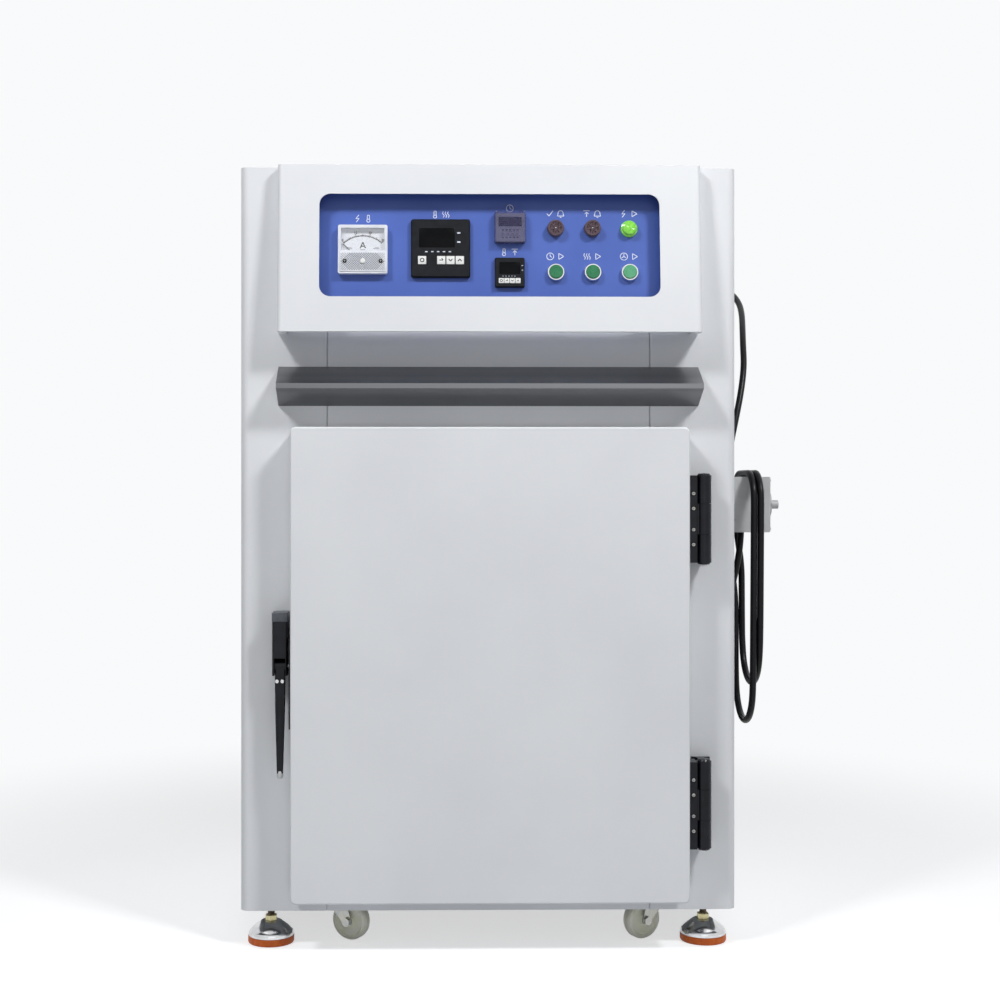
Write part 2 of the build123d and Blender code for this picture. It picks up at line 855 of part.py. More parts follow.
def make_latch_lever():
    middle = (latch_outer_x + latch_inner_x) / 2
    half_root = lever_root_width / 2
    hub = rod(
        lever_hub_radius, (middle - half_root, lever_pivot_y, lever_pivot_z), (middle + half_root, lever_pivot_y, lever_pivot_z)
    )
    low = lever_pivot_z - lever_length
    face_mid = Pos(middle, lever_pivot_y - 4, lever_pivot_z - 60) * RectangleRounded(
        lever_root_width - 1, lever_thickness, 2
    )
    face_low = Pos(middle, lever_pivot_y - 7, low + 8) * RectangleRounded(lever_tip_width, lever_thickness - 2, 2)
    root = Pos(middle, lever_pivot_y - 2, lever_pivot_z) * RectangleRounded(lever_root_width, lever_thickness, 2)
    arm = loft([face_low, face_mid, root], ruled=True)
    tip = Pos(middle, lever_pivot_y - 7, low + 5) * Sphere(lever_tip_width / 2 - 0.2)
    tip += rod(lever_tip_width / 2 - 0.2, (middle, lever_pivot_y - 7, low + 5), (middle, lever_pivot_y - 7, low + 9))
    lever = hub + arm + tip
    for offset_x in (-3.5, 3.5):
        groove = block(
            (middle + offset_x - 0.6, middle + offset_x + 0.6),
            (lever_pivot_y - 14, lever_pivot_y - 8.6),
            (low + 60, lever_pivot_z - 20),
        )
        lever -= groove
    bore_ends = ((latch_outer_x, lever_pivot_y, lever_pivot_z), (latch_inner_x, lever_pivot_y, lever_pivot_z))
    return lever - rod(lever_pin_radius + running_gap, *bore_ends)


def make_latch():
    keeper_face = -half_door - keeper_thickness
    tip = keeper_face - keeper_gap
    pieces["latch_body"] = make_latch_body()
    pieces["latch_lever"] = make_latch_lever()
    bolt = rod(bolt_radius, (tip - bolt_length, bolt_y, bolt_z), (tip, bolt_y, bolt_z))
    pieces["latch_bolt"] = chamfer(bolt.edges().sort_by(Axis.X)[-1:], 1.5)
    keeper = block((keeper_face, -half_door), (-46, -14), (keeper_bottom, keeper_top))
    keeper = fillet(keeper.edges().filter_by(Axis.X), 4)
    keeper -= rod(bolt_radius + 1, (keeper_face - 1, bolt_y, bolt_z), (-half_door + 1, bolt_y, bolt_z))
    pieces["latch_keeper"] = keeper


# Control hood and the panel behind its window
def hood_outline(inset):
    drop = inset / math.cos(hood_lean)
    return make_face(
        Polyline(
            (5 if inset else 0, hood_bottom + inset),
            (hood_face_y(hood_bottom + inset) + drop, hood_bottom + inset),
            (hood_face_y(casing_top - inset) + drop, casing_top - inset),
            (5 if inset else 0, casing_top - inset),
            close=True,
        )
    )


def make_control_hood():
    half = hood_width / 2
    outer = along_x(hood_outline(0), -half, half)
    front = outer.faces().sort_by(Axis.Y)[0]
    side_edges = [edge for edge in front.edges() if abs(edge.tangent_at(0).Z) > 0.5]
    outer = fillet(side_edges, hood_corner)
    inner = along_x(hood_outline(casing_sheet), -half + casing_sheet, half - casing_sheet)
    inner_front = inner.faces().sort_by(Axis.Y)[0]
    inner_edges = [edge for edge in inner_front.edges() if abs(edge.tangent_at(0).Z) > 0.5]
    hood = outer - fillet(inner_edges, hood_corner - casing_sheet)
    lip_y = -(hood_bottom_reach - hood_lip)
    hood -= block((-half + hood_lip, half - hood_lip), (lip_y, 1), (hood_bottom - 1, hood_bottom + casing_sheet + 1))
    height = (window_high - window_low) / math.cos(hood_lean)
    middle = (window_high + window_low) / 2
    plane = Plane(origin=(0, hood_face_y(middle), middle), x_dir=(1, 0, 0), z_dir=panel_normal)
    window = plane * Pos(0, 0, -10) * extrude(RectangleRounded(window_width, height, window_corner), 20)
    pieces["control_hood"] = hood - window


def device_cut_outs():
    """The outline of every hole in the panel."""
    holes = [Pos(*ammeter_place) * Rectangle(52, 52)]
    holes.append(Pos(*controller_place) * Rectangle(controller_case + cut_out_gap, controller_case + cut_out_gap))
    for place in (timer_place, limit_place):
        holes.append(Pos(*place) * Rectangle(small_case + cut_out_gap, small_case + cut_out_gap))
    for x in button_columns:
        for v in (upper_row, lower_row):
            holes.append(Pos(x, v) * Circle(button_barrel_radius + cap_gap))
    return holes


def make_control_panel():
    path = Polyline(
        (0, panel_high), (panel_face_y(panel_high), panel_high), (panel_face_y(panel_low), panel_low), (0, panel_low)
    )
    outline = make_face(offset(path, amount=casing_sheet, side=Side.LEFT))
    panel = along_x(outline, -panel_half_width, panel_half_width)
    for hole in device_cut_outs():
        panel -= panel_plane * Pos(0, 0, -10) * extrude(hole, 20)
    pieces["control_panel"] = panel


def make_ammeter():
    half = ammeter_size / 2
    half_window = ammeter_window / 2
    case = plate(ammeter_size, ammeter_size, 3, 0, ammeter_height)
    case -= block((-half_window, half_window), (ammeter_split, half_window), (3, ammeter_height + 1))
    case -= block((-26, 26), (needle_pivot - 10, ammeter_split + 1), (3, 7))
    case += peg(25.5, -40, 0)
    lens = block(
        (-half_window + fit_gap, half_window - fit_gap),
        (ammeter_split + fit_gap, half_window - fit_gap),
        (ammeter_height - lens_thickness, ammeter_height),
    )
    hub = Pos(0, needle_pivot, 0) * peg(3, 3 + fit_gap, 6)
    arm = block((-0.6, 0.6), (needle_pivot - 8, needle_pivot + needle_length), (4.4, 5.4))
    turn = Pos(0, needle_pivot, 0) * Rot(0, 0, needle_sweep_deg / 2) * Pos(0, -needle_pivot, 0)
    pieces["ammeter_case"] = on_panel(ammeter_place, case)
    pieces["ammeter_lens"] = on_panel(ammeter_place, lens)
    pieces["ammeter_needle"] = on_panel(ammeter_place, turn * (hub + arm))


def keypad_device(size, case_size, case_depth, screen, keys, key_size, key_row):
    """A square panel instrument: bezel, sunk screen, raised keys and the case behind."""
    device = plate(size, size, size / 24, 0, bezel_height)
    front_edges = device.faces().sort_by(Axis.Z)[-1].outer_wire().edges()
    device = chamfer(front_edges, size / 48)
    x, v, width, height = screen
    device -= Pos(x, v, bezel_height - 1) * Box(width, height, 2)
    for key_x in keys:
        device += Pos(key_x, key_row, bezel_height) * Box(key_size, key_size, 1)
    return device + plate(case_size, case_size, 1, -case_depth, 0)


def make_controllers():
    controller = keypad_device(
        controller_size, controller_case, controller_case_depth, (-6, 17, 58, 32), (-30, 1, 16, 31), 11, -20
    )
    limit = keypad_device(small_size, small_case, small_case_depth, (0, 7, 34, 20), (-14, -5, 4, 13), 6.5, -14)
    timer = keypad_device(small_size, small_case, small_case_depth, (0, 10, 38, 16), (-12, -4, 4, 12), 5.5, -10)
    pieces["temperature_controller"] = on_panel(controller_place, controller)
    pieces["limit_controller"] = on_panel(limit_place, limit)
    pieces["timer_module"] = on_panel(timer_place, add_cover_eyes(timer))
    pieces["timer_cover"] = on_panel(timer_place, make_timer_cover())


def cover_pivot():
    """The cover's hinge line, above the timer's middle and out from the panel."""
    return (cover_size / 2 + cover_pin_radius - 0.5, cover_height - 4)


def make_timer_cover():
    cover = plate(cover_size, cover_size, 3, 1, cover_height)
    cover = fillet(cover.faces().sort_by(Axis.Z)[-1].outer_wire().edges(), 2)
    inner = cover_size - 2 * cover_wall
    cover -= plate(inner, inner, 1.5, 0, cover_height - cover_wall)
    v, height = cover_pivot()
    cover -= block((-inner / 2, inner / 2), (inner / 2 - 1, cover_size / 2 + 1), (0, height))
    for x in (-17, 17):
        cover += Pos(x, v, height) * Rot(0, 90, 0) * Cylinder(cover_pin_radius, 6)
    return cover + rod(cover_axle_radius, (-cover_eye_x - 1, v, height), (cover_eye_x + 1, v, height))


def add_cover_eyes(timer):
    """Two posts on the timer's upper edge, whose eyes hold the cover's axle."""
    v, height = cover_pivot()
    for side in (-1, 1):
        span = (side * cover_eye_x - 0.75, side * cover_eye_x + 0.75)
        post = block(span, (small_size / 2 - 1, v + cover_eye_radius), (0, height - cover_pin_radius))
        post += block(span, (v - cover_eye_radius, v + cover_eye_radius), (height - cover_pin_radius - 1, height))
        timer += post + rod(cover_eye_radius, (span[0], v, height), (span[1], v, height))
        timer -= rod(cover_axle_radius + running_gap, (span[0] - 1, v, height), (span[1] + 1, v, height))
    return timer


def make_buttons():
    seat = cap_radius + cap_gap
    bezel = turned(
        (0, -button_barrel_length - 1),
        (button_barrel_radius, -button_barrel_length - 1),
        (button_barrel_radius, 0),
        (button_bezel_radius, 0),
        (button_bezel_radius, button_bezel_height - 3),
        (button_bezel_radius - 1.5, button_bezel_height),
        (seat, button_bezel_height),
        (seat, button_seat),
        (button_barrel_bore, button_seat),
        (button_barrel_bore, -button_barrel_length),
        (0, -button_barrel_length),
    )
    cap = turned(
        (0, -8),
        (cap_stem_radius, -8),
        (cap_stem_radius, cap_stand),
        (cap_radius, cap_stand),
        (cap_radius, cap_stand + cap_height - 1),
        (cap_radius - 1, cap_stand + cap_height),
        (0, cap_stand + cap_height + 0.4),
    )
    pieces["button_bezels"] = Compound([on_panel((x, lower_row), bezel) for x in button_columns])
    for name, x in zip(("timer", "heat", "fan"), button_columns):
        pieces["button_" + name] = on_panel((x, lower_row), cap)


def make_signals():
    barrel = peg(button_barrel_radius, -button_barrel_length, 0)
    face = turned(
        (0, 0), (buzzer_radius, 0), (buzzer_radius, buzzer_height - 3), (buzzer_radius - 3, buzzer_height), (0, buzzer_height)
    )
    buzzer = face + barrel
    for number in range(5):
        x = (number - 2) * 4
        buzzer -= Pos(x, 0, buzzer_height) * Box(1.6, 2 * math.sqrt(81 - x * x), 4)
    lens = turned(
        (0, 0), (buzzer_radius, 0), (buzzer_radius, 3), (buzzer_radius - 2, 4), (buzzer_radius - 2, 7), (8, 11), (0, 12)
    )
    pieces["alarm_buzzers"] = Compound([on_panel((x, upper_row), buzzer) for x in button_columns[:2]])
    pieces["power_lamp"] = on_panel((button_columns[2], upper_row), lens + barrel)


def deflector_outline(inset):
    reach = -deflector_reach + inset
    return make_face(
        Polyline(
            (5 if inset else 0, deflector_high - inset * 1.3),
            (reach, deflector_nose_high - inset * 0.4),
            (reach, deflector_nose_low + inset * 0.4),
            (5 if inset else 0, deflector_low + inset * 1.3),
            close=True,
        )
    )


def make_heat_deflector():
    half = deflector_width / 2
    outer = along_x(deflector_outline(0), -half, half)
    inner = along_x(deflector_outline(deflector_sheet), -half + deflector_sheet, half - deflector_sheet)
    pieces["heat_deflector"] = outer - inner


# Isolator
def make_isolator():
    y_limits = (isolator_y - isolator_width / 2, isolator_y + isolator_width / 2)
    housing = block((half_width, isolator_out), y_limits, (isolator_low, isolator_high))
    housing = fillet(housing.faces().sort_by(Axis.X)[-1].edges(), 4)
    seam = isolator_out - 30
    housing -= block((seam - 0.6, seam + 0.6), (y_limits[0] - 1, y_limits[0] + 1), (isolator_low - 1, isolator_high + 1))
    middle = (isolator_low + isolator_high) / 2
    knob = rod(knob_disc_radius, (isolator_out + fit_gap, isolator_y, middle), (isolator_out + 4, isolator_y, middle))
    grip = Pos(isolator_out + 3, isolator_y, middle) * Rot(0, 90, 0) * extrude(
        SlotOverall(knob_length, knob_width, rotation=90), knob_reach - 3
    )
    pieces["isolator_housing"] = housing
    pieces["isolator_knob"] = knob + grip


# Power cord: down the side, over the isolator in a hank, and out to its plug
def cord_lead_points():
    start_x = half_width + gland_length + fit_gap
    return [
        (start_x, gland_y, gland_z),
        (458, 520, 1150),
        (487, 507, 1141),
        (503, 482, 1124),
        (508, 449, 1103),
        (504, 410, 1078),
        (496, 368, 1048),
        (489, 332, 1014),
        (484, 300, 972),
        (474, 278, 925),
        (461, 261, 876),
        (448, 249, 826),
        (439, 242, 774),
        (436, 239, 720),
        (440, 239, 664),
        (448, 240.5, 608),
        (456, 242, 554),
    ]


def cord_tail_points():
    return [
        (456, 240, 524),
        (449, 242, 486),
        (437, 242, 450),
        (427, 239, 412),
        (427, 239, 376),
    ]


def cord_tube(points):
    """Straight runs joined by arcs as large as the runs allow."""
    vectors = [Vector(*point) for point in points]
    radii = []
    for before, here, after in zip(vectors, vectors[1:], vectors[2:]):
        first = here - before
        second = after - here
        half_turn = math.radians(first.get_angle(second)) / 2
        radii.append(0.45 * min(first.length, second.length) / math.tan(half_turn))
    print("cord radii", [round(radius) for radius in radii])
    path = FilletPolyline(*points, radius=radii)
    section = Plane(origin=path @ 0, z_dir=path % 0) * Circle(cord_radius)
    tube = sweep(section, path=path)
    share = tube.volume / (math.pi * cord_radius**2 * path.length)
    print("cord length", round(path.length), "volume share", round(share, 4))
    return tube


def hank_outline(inset):
    """The hank seen from the side: flat on the isolator's top, narrowing to its round lower end."""
    half_top = isolator_width / 2 + coil_rest_gap + coil_bend + inset
    half_low = coil_low_half_width + inset
    high = isolator_high + fit_gap + cord_radius + inset
    low = coil_low_inner - cord_radius - inset if inset < 0 else coil_low_outer + cord_radius - inset
    return make_face(
        FilletPolyline(
            (-half_top, high),
            (half_top, high),
            (half_low, low),
            (-half_low, low),
            close=True,
            radius=[coil_bend + inset, coil_bend + inset, coil_low_bend + inset, coil_low_bend + inset],
        )
    )


def make_cord_coil():
    outline = hank_outline(cord_radius) - hank_outline(-cord_radius)
    turn = Plane(origin=(coil_inner_x, isolator_y, 0), x_dir=(0, 1, 0), z_dir=(1, 0, 0))
    return turn * extrude(outline, coil_width)


def make_plug(end):
    """A moulded plug hanging on the cord's end, pins down."""
    x, y, z = end
    body = turned(
        (0, 0), (cord_radius + 1, 0), (cord_radius + 2.5, -12), (plug_radius - 3, -20), (plug_radius, -26),
        (plug_radius, -plug_length + 2), (plug_radius - 2, -plug_length), (0, -plug_length),
    )
    for side in (-1, 1):
        body += Pos(0, side * plug_pin_spacing / 2, 0) * peg(plug_pin_radius, -plug_length - plug_pin_length, -plug_length)
    return Pos(x, y, z) * body


def make_cord():
    start = half_width
    collar = rod(gland_radius, (start, gland_y, gland_z), (start + 5, gland_y, gland_z))
    hexagon = Plane(origin=(start + 4, gland_y, gland_z), z_dir=(1, 0, 0)) * extrude(
        RegularPolygon(gland_radius - 1, 6, major_radius=False), 10
    )
    nose = Plane(origin=(start + 13, gland_y, gland_z), z_dir=(1, 0, 0)) * Cone(
        gland_radius - 2, cord_radius + 2, gland_length - 13, align=(Align.CENTER, Align.CENTER, Align.MIN)
    )
    gland = collar + hexagon + nose
    thread_start = (inner_half - 10, gland_y, gland_z)
    gland += rod(gland_radius / 2, thread_start, (start + 1, gland_y, gland_z))
    pieces["cable_gland"] = gland
    lead = cord_tube(cord_lead_points())
    tail = cord_tube(cord_tail_points())
    pieces["power_cord"] = Compound([lead, tail])
    pieces["power_cord_coil"] = make_cord_coil()
    pieces["power_plug"] = make_plug(cord_tail_points()[-1])


def make_lifting_eyes():
    ring_z = eye_collar_height + eye_ring_radius + eye_wire_radius / 2
    eye = turned(
        (0, -eye_shank_length),
        (eye_shank_radius, -eye_shank_length),
        (eye_shank_radius, 0),
        (eye_collar_radius, 0),
        (eye_collar_radius, eye_collar_height - 2),
        (eye_collar_radius - 3, eye_collar_height + 1),
        (0, eye_collar_height + 1),
    )
    ring = Circle(eye_ring_radius + eye_wire_radius) - Circle(eye_ring_radius - eye_wire_radius)
    ring = chamfer(extrude(ring, eye_wire_radius, both=True).edges(), eye_wire_radius / 2)
    eye += Pos(0, 0, ring_z) * Rot(90, 0, 0) * ring
    pieces["lifting_eyes"] = Compound([Pos(x, y, casing_top) * eye for x, y in eye_places()])


def make_everything():
    make_side_panels()
    make_front_panels()
    make_top_panel()
    make_back_panel()
    make_base_frame()
    make_motor_deck()
    make_feet()
    make_casters()
    make_chamber_liner()
    make_air_ducts()
    pieces["shelf_lower"] = make_shelf(1)
    pieces["shelf_upper"] = make_shelf(3)
    make_insulation()
    make_heaters()
    make_fan()
    make_door()
    make_hinges()
    make_latch()
    make_control_hood()
    make_control_panel()
    make_ammeter()
    make_controllers()
    make_buttons()
    make_signals()
    make_heat_deflector()
    make_isolator()
    make_cord()
    make_lifting_eyes()


make_everything()

# The middle of the whole, without the cord, stands over the origin
left_reach = -half_width
right_reach = isolator_out + knob_reach
front_reach = door_front
back_reach = casing_depth + casing_sheet + louvre_reach
frame_shift = (-(left_reach + right_reach) / 2, -(front_reach + back_reach) / 2, 0)

os.makedirs("parts", exist_ok=True)
for name, shape in pieces.items():
    export_step(Pos(*frame_shift) * shape, "parts/" + name + ".step")
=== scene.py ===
import bpy
import math
from mathutils import Matrix, Vector


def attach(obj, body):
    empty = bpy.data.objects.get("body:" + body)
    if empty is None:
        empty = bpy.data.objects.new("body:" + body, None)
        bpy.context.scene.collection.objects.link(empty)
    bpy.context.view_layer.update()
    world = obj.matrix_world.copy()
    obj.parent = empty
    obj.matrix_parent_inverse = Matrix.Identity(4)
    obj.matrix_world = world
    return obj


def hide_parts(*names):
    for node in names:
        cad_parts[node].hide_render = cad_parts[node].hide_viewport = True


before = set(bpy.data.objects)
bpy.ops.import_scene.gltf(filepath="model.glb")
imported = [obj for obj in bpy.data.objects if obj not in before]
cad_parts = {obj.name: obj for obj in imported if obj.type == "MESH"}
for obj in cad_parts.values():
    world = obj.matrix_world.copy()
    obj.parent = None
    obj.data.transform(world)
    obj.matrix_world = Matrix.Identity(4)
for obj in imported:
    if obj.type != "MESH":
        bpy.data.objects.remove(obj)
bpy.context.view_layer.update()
print("frame loaded:", len(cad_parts), "nodes")

mm = 0.001
shiftX, shiftY = -0.0528, -0.32825      # from the cabinet's zero, in the middle of its front, to the frame's


def spot(x, y, z):
    return Vector((x * mm + shiftX, y * mm + shiftY, z * mm))      # cabinet millimetres to frame metres


def deselectAll():
    if bpy.context.object and bpy.context.object.mode != "OBJECT":
        bpy.ops.object.mode_set(mode="OBJECT")
    bpy.ops.object.select_all(action="DESELECT")


# Camera and lamps
cameraValues = {
    "place": (-132.1, -2515.4, 753.5),      # found from the corners of the hood, door and casing
    "turn": 0.0144,
    "lens": 55.48,
    "sensor": 36,
    "shift": (0.07, -0.0146),
}
lampValues = {      # place, aim, size in metres, watts
    "rightLamp": ((1.5, -2.0, 3.1), (0.0, -0.3, 0.7), 0.5, 60),
    "leftLamp": ((-1.6, -2.0, 3.1), (0.0, -0.3, 0.7), 0.5, 50),
    "frontLamp": ((0.2, -4.2, 1.3), (0.0, 0.0, 0.6), 2.6, 8),
}


def makeCamera():
    data = bpy.data.cameras.new("photoCamera")
    camera = bpy.data.objects.new("photoCamera", data)
    bpy.context.scene.collection.objects.link(camera)
    camera.location = spot(*cameraValues["place"])
    camera.rotation_euler = (math.radians(90), 0, -cameraValues["turn"])
    data.lens = cameraValues["lens"]
    data.sensor_width = cameraValues["sensor"]
    data.shift_x, data.shift_y = cameraValues["shift"]
    bpy.context.scene.camera = camera


def makeLamps():
    for name, (place, aim, size, watts) in lampValues.items():
        lamp = bpy.data.lights.new(name, "AREA")
        lamp.size = size
        lamp.energy = watts
        holder = bpy.data.objects.new(name, lamp)
        bpy.context.scene.collection.objects.link(holder)
        holder.location = place
        holder.rotation_euler = (Vector(aim) - Vector(place)).to_track_quat("-Z", "Y").to_euler()


# Materials
def linearColour(text):
    parts = [int(text[i:i + 2], 16) / 255 for i in (1, 3, 5)]
    return [p / 12.92 if p <= 0.04045 else ((p + 0.055) / 1.055) ** 2.4 for p in parts] + [1.0]


def addNode(tree, kind, settings=None, links=None):
    node = tree.nodes.new(kind)
    for key, value in (settings or {}).items():
        if key in node.inputs.keys():
            node.inputs[key].default_value = value
        else:
            setattr(node, key, value)
    for key, source in (links or {}).items():
        tree.links.new(source, node.inputs[key])
    return node


# patch, grain and depth are millimetres: the size of the clouds of colour, and the texture's width and height.
# A texture finer than half a millimetre is drawn coarser than it is, so that it shows.
finishes = {
    # powder coat: sprayed polyester powder, baked; a satin skin with faint orange peel
    "powderCoat": {"colours": ("#E4E6EA", "#EBEDF0"), "patch": 240, "rough": (0.34, 0.44),
                   "grain": 2.2, "depth": 0.05},
    # the same powder on inside sheets, a thinner coat with more cloud in it
    "innerPowderCoat": {"colours": ("#C6CACE", "#D2D5D9"), "patch": 90, "rough": (0.42, 0.55),
                        "grain": 2.0, "depth": 0.06},
    # blue powder coat: finer powder on the instrument panel, even and satin
    "bluePowderCoat": {"colours": ("#4560B2", "#4D69BB"), "patch": 120, "rough": (0.36, 0.46),
                       "grain": 1.4, "depth": 0.04},
    # brushed stainless steel: long fine scratches along X that stretch each highlight; its colours are
    # darkened below the steel's own tone, as painted shade for the dark reflection under the hood
    "brushedStainlessPaintedShade": {"colours": ("#6C6D6F", "#8B8C8E"), "patch": 60, "rough": (0.24, 0.38), "metal": 1.0,
                         "grain": 1.1, "depth": 0.02, "stretch": (0.02, 1, 1)},
    # rolled stainless sheet of the chamber, cloudy and duller
    "rolledStainless": {"colours": ("#8A8B8B", "#A2A3A3"), "patch": 40, "rough": (0.34, 0.5), "metal": 1.0,
                        "grain": 3.0, "depth": 0.02},
    # zinc plate: bright dip plating, faint bluish and yellowish clouds
    "zincPlate": {"colours": ("#A3A7A9", "#B9B7AC"), "patch": 9, "rough": (0.26, 0.42), "metal": 1.0,
                  "grain": 0.9, "depth": 0.03},
    # turned steel under chrome: mirror bright, with the turning's fine marks left in it
    "chromePlate": {"colours": ("#C4C5C7", "#DADBDC"), "patch": 14, "rough": (0.08, 0.2), "metal": 1.0,
                    "grain": 0.7, "depth": 0.015},
    # yellow chromate over zinc on the feet's nuts, pale straw
    "yellowZinc": {"colours": ("#D9CE9A", "#E8DFB4"), "patch": 5, "rough": (0.3, 0.45), "metal": 0.6,
                   "grain": 0.8, "depth": 0.02},
    # oiled steel thread, cut on the feet's studs, brown and uneven
    "threadedSteel": {"colours": ("#6E5F4E", "#9A8D7A"), "patch": 3, "rough": (0.3, 0.5), "metal": 0.9,
                      "grain": 0.7, "depth": 0.03},
    # drawn steel bar of the heaters, shaft and bolt, grey with a soft shine
    "drawnSteel": {"colours": ("#7C7D7F", "#98999A"), "patch": 12, "rough": (0.26, 0.4), "metal": 1.0,
                   "grain": 0.9, "depth": 0.02},
    # black epoxy coat on the hinges and latch, glossy, with a pebbled skin
    "blackEpoxyCoat": {"colours": ("#121318", "#1B1D23"), "patch": 22, "rough": (0.2, 0.3),
                       "grain": 1.1, "depth": 0.025, "shine": 0.2},
    # the same coat on the latch's top cap, painted lighter grey: a painted highlight for light falling on its
    # sloping top
    "epoxyCoatPaintedHighlight": {"colours": ("#3E4249", "#50545B"), "patch": 12, "rough": (0.26, 0.4),
                      "grain": 1.1, "depth": 0.05},
    # cast aluminium motor housing under hammer paint, dimpled
    "hammerPaint": {"colours": ("#59636C", "#6C767F"), "patch": 7, "rough": (0.35, 0.5),
                    "grain": 4.0, "depth": 0.15},
    # ABS: moulded black instrument cases with a spark-eroded grain
    "blackAbs": {"colours": ("#121317", "#1B1D21"), "patch": 12, "rough": (0.42, 0.56),
                 "grain": 0.7, "depth": 0.04, "shine": 0.15},
    # ABS: the timer's moulded front and keys, grey violet
    "violetAbs": {"colours": ("#8B8AA2", "#9A99B0"), "patch": 15, "rough": (0.38, 0.5),
                  "grain": 0.7, "depth": 0.03},
    # ABS: light grey isolator housing and lever tip, warmed a little by age
    "greyAbs": {"colours": ("#BFC1C2", "#CDCECE"), "patch": 30, "rough": (0.36, 0.5),
                "grain": 0.9, "depth": 0.05},
    # polystyrene: moulded meter case and cover, bright white and smooth
    "whiteStyrene": {"colours": ("#DDE0E8", "#EBEDF3"), "patch": 25, "rough": (0.18, 0.28),
                     "grain": 0.9, "depth": 0.02},
    # ABS: moulded keys and the meter's adjuster, matt white
    "whiteKeys": {"colours": ("#E6E7E6", "#F0F0EE"), "patch": 4, "rough": (0.34, 0.45),
                  "grain": 0.6, "depth": 0.02},
    # card of the dial: uncoated white paper, faint fibre mottle
    "dialCard": {"colours": ("#E3E6EE", "#EEF0F5"), "patch": 3, "rough": (0.6, 0.75),
                 "grain": 0.6, "depth": 0.01},
    # black screen printing ink of scales and key marks, a matt film; the same black is also painted shade in
    # the screws' cross slots
    "blackInkAndPaintedSlotShade": {"colours": ("#1A1C22", "#2B2D34"), "patch": 1.5, "rough": (0.5, 0.65),
                 "grain": 0.5, "depth": 0.01},
    # grey ink of the hatching on the meter's cover, a little smoother
    "greyInk": {"colours": ("#6C7077", "#858992"), "patch": 1.5, "rough": (0.4, 0.55),
                "grain": 0.5, "depth": 0.01},
    # white ink of the panel's signs, matt, with a little of the blue in it
    "whiteInk": {"colours": ("#D3DBEE", "#E4E9F6"), "patch": 1.5, "rough": (0.5, 0.65),
                 "grain": 0.5, "depth": 0.01},
    # screens: dark tinted acrylic, nearly black and very smooth
    "screenAcrylic": {"colours": ("#040506", "#090A0D"), "patch": 20, "rough": (0.16, 0.24),
                      "grain": 4.0, "depth": 0.004, "shine": 0.08},
    # clear acrylic of the meter's lens, polished
    "clearAcrylic": {"colours": ("#F4F7FA", "#FFFFFF"), "patch": 30, "rough": (0.02, 0.05),
                     "grain": 6.0, "depth": 0.004, "alpha": 0.08},
    # smoked acrylic of the timer's cover, violet grey and see-through
    "smokedAcrylic": {"colours": ("#3E3C66", "#514F7C"), "patch": 30, "rough": (0.06, 0.1),
                      "grain": 6.0, "depth": 0.006, "alpha": 0.3},
    # polycarbonate button caps: glossy green with a soft skin
    "greenPolycarbonate": {"colours": ("#1D7247", "#277F52"), "patch": 9, "rough": (0.22, 0.34),
                           "grain": 1.0, "depth": 0.02},
    # the same plastic on the fan's button, a paler green
    "paleGreenPolycarbonate": {"colours": ("#4C9E72", "#62AE84"), "patch": 9, "rough": (0.22, 0.34),
                               "grain": 1.0, "depth": 0.02},
    # lamp lens: moulded polycarbonate, tinted lime right through and faintly lit
    "limeLens": {"colours": ("#6FCB38", "#97E05A"), "patch": 5, "rough": (0.14, 0.24),
                 "grain": 1.2, "depth": 0.03, "glow": 0.12},
    # buzzer moulding, brown violet plastic
    "violetMoulding": {"colours": ("#46353D", "#5D4750"), "patch": 4, "rough": (0.22, 0.36),
                       "grain": 0.8, "depth": 0.03},
    # polyurethane pad: tough orange rubber, dusty in its pores
    "orangeUrethane": {"colours": ("#C4560F", "#DA6C1C"), "patch": 9, "rough": (0.45, 0.62),
                       "grain": 0.9, "depth": 0.06},
    # nylon wheel: waxy cream white
    "nylonCream": {"colours": ("#F3F4DC", "#FBFBEE"), "patch": 12, "rough": (0.36, 0.5),
                   "grain": 1.2, "depth": 0.04},
    # silicone rubber of the door's seal and the cord's strain relief, dull and soft
    "blackSilicone": {"colours": ("#1B1B1D", "#29292B"), "patch": 10, "rough": (0.5, 0.7),
                      "grain": 0.9, "depth": 0.05},
    # soft PVC jacket of the cord, extruded, with a low sheen
    "cordPvc": {"colours": ("#08080C", "#101015"), "patch": 14, "rough": (0.26, 0.4),
                "grain": 1.4, "depth": 0.03, "shine": 0.2},
    # turned brass of the plug's pins, bright yellow
    "pinBrass": {"colours": ("#B9A25F", "#D2BF84"), "patch": 4, "rough": (0.18, 0.3), "metal": 1.0,
                 "grain": 0.8, "depth": 0.01},
    # mineral wool board: matted pale brown fibres
    "mineralWool": {"colours": ("#A08F62", "#C6B88A"), "patch": 6, "rough": (0.85, 1.0),
                    "grain": 1.5, "depth": 0.6, "stretch": (0.25, 1, 1)},
}
patternValues = {"rampStops": (0.32, 0.68), "cloudDetail": 5.0, "grainDetail": 3.0, "bumpStrength": 0.8}


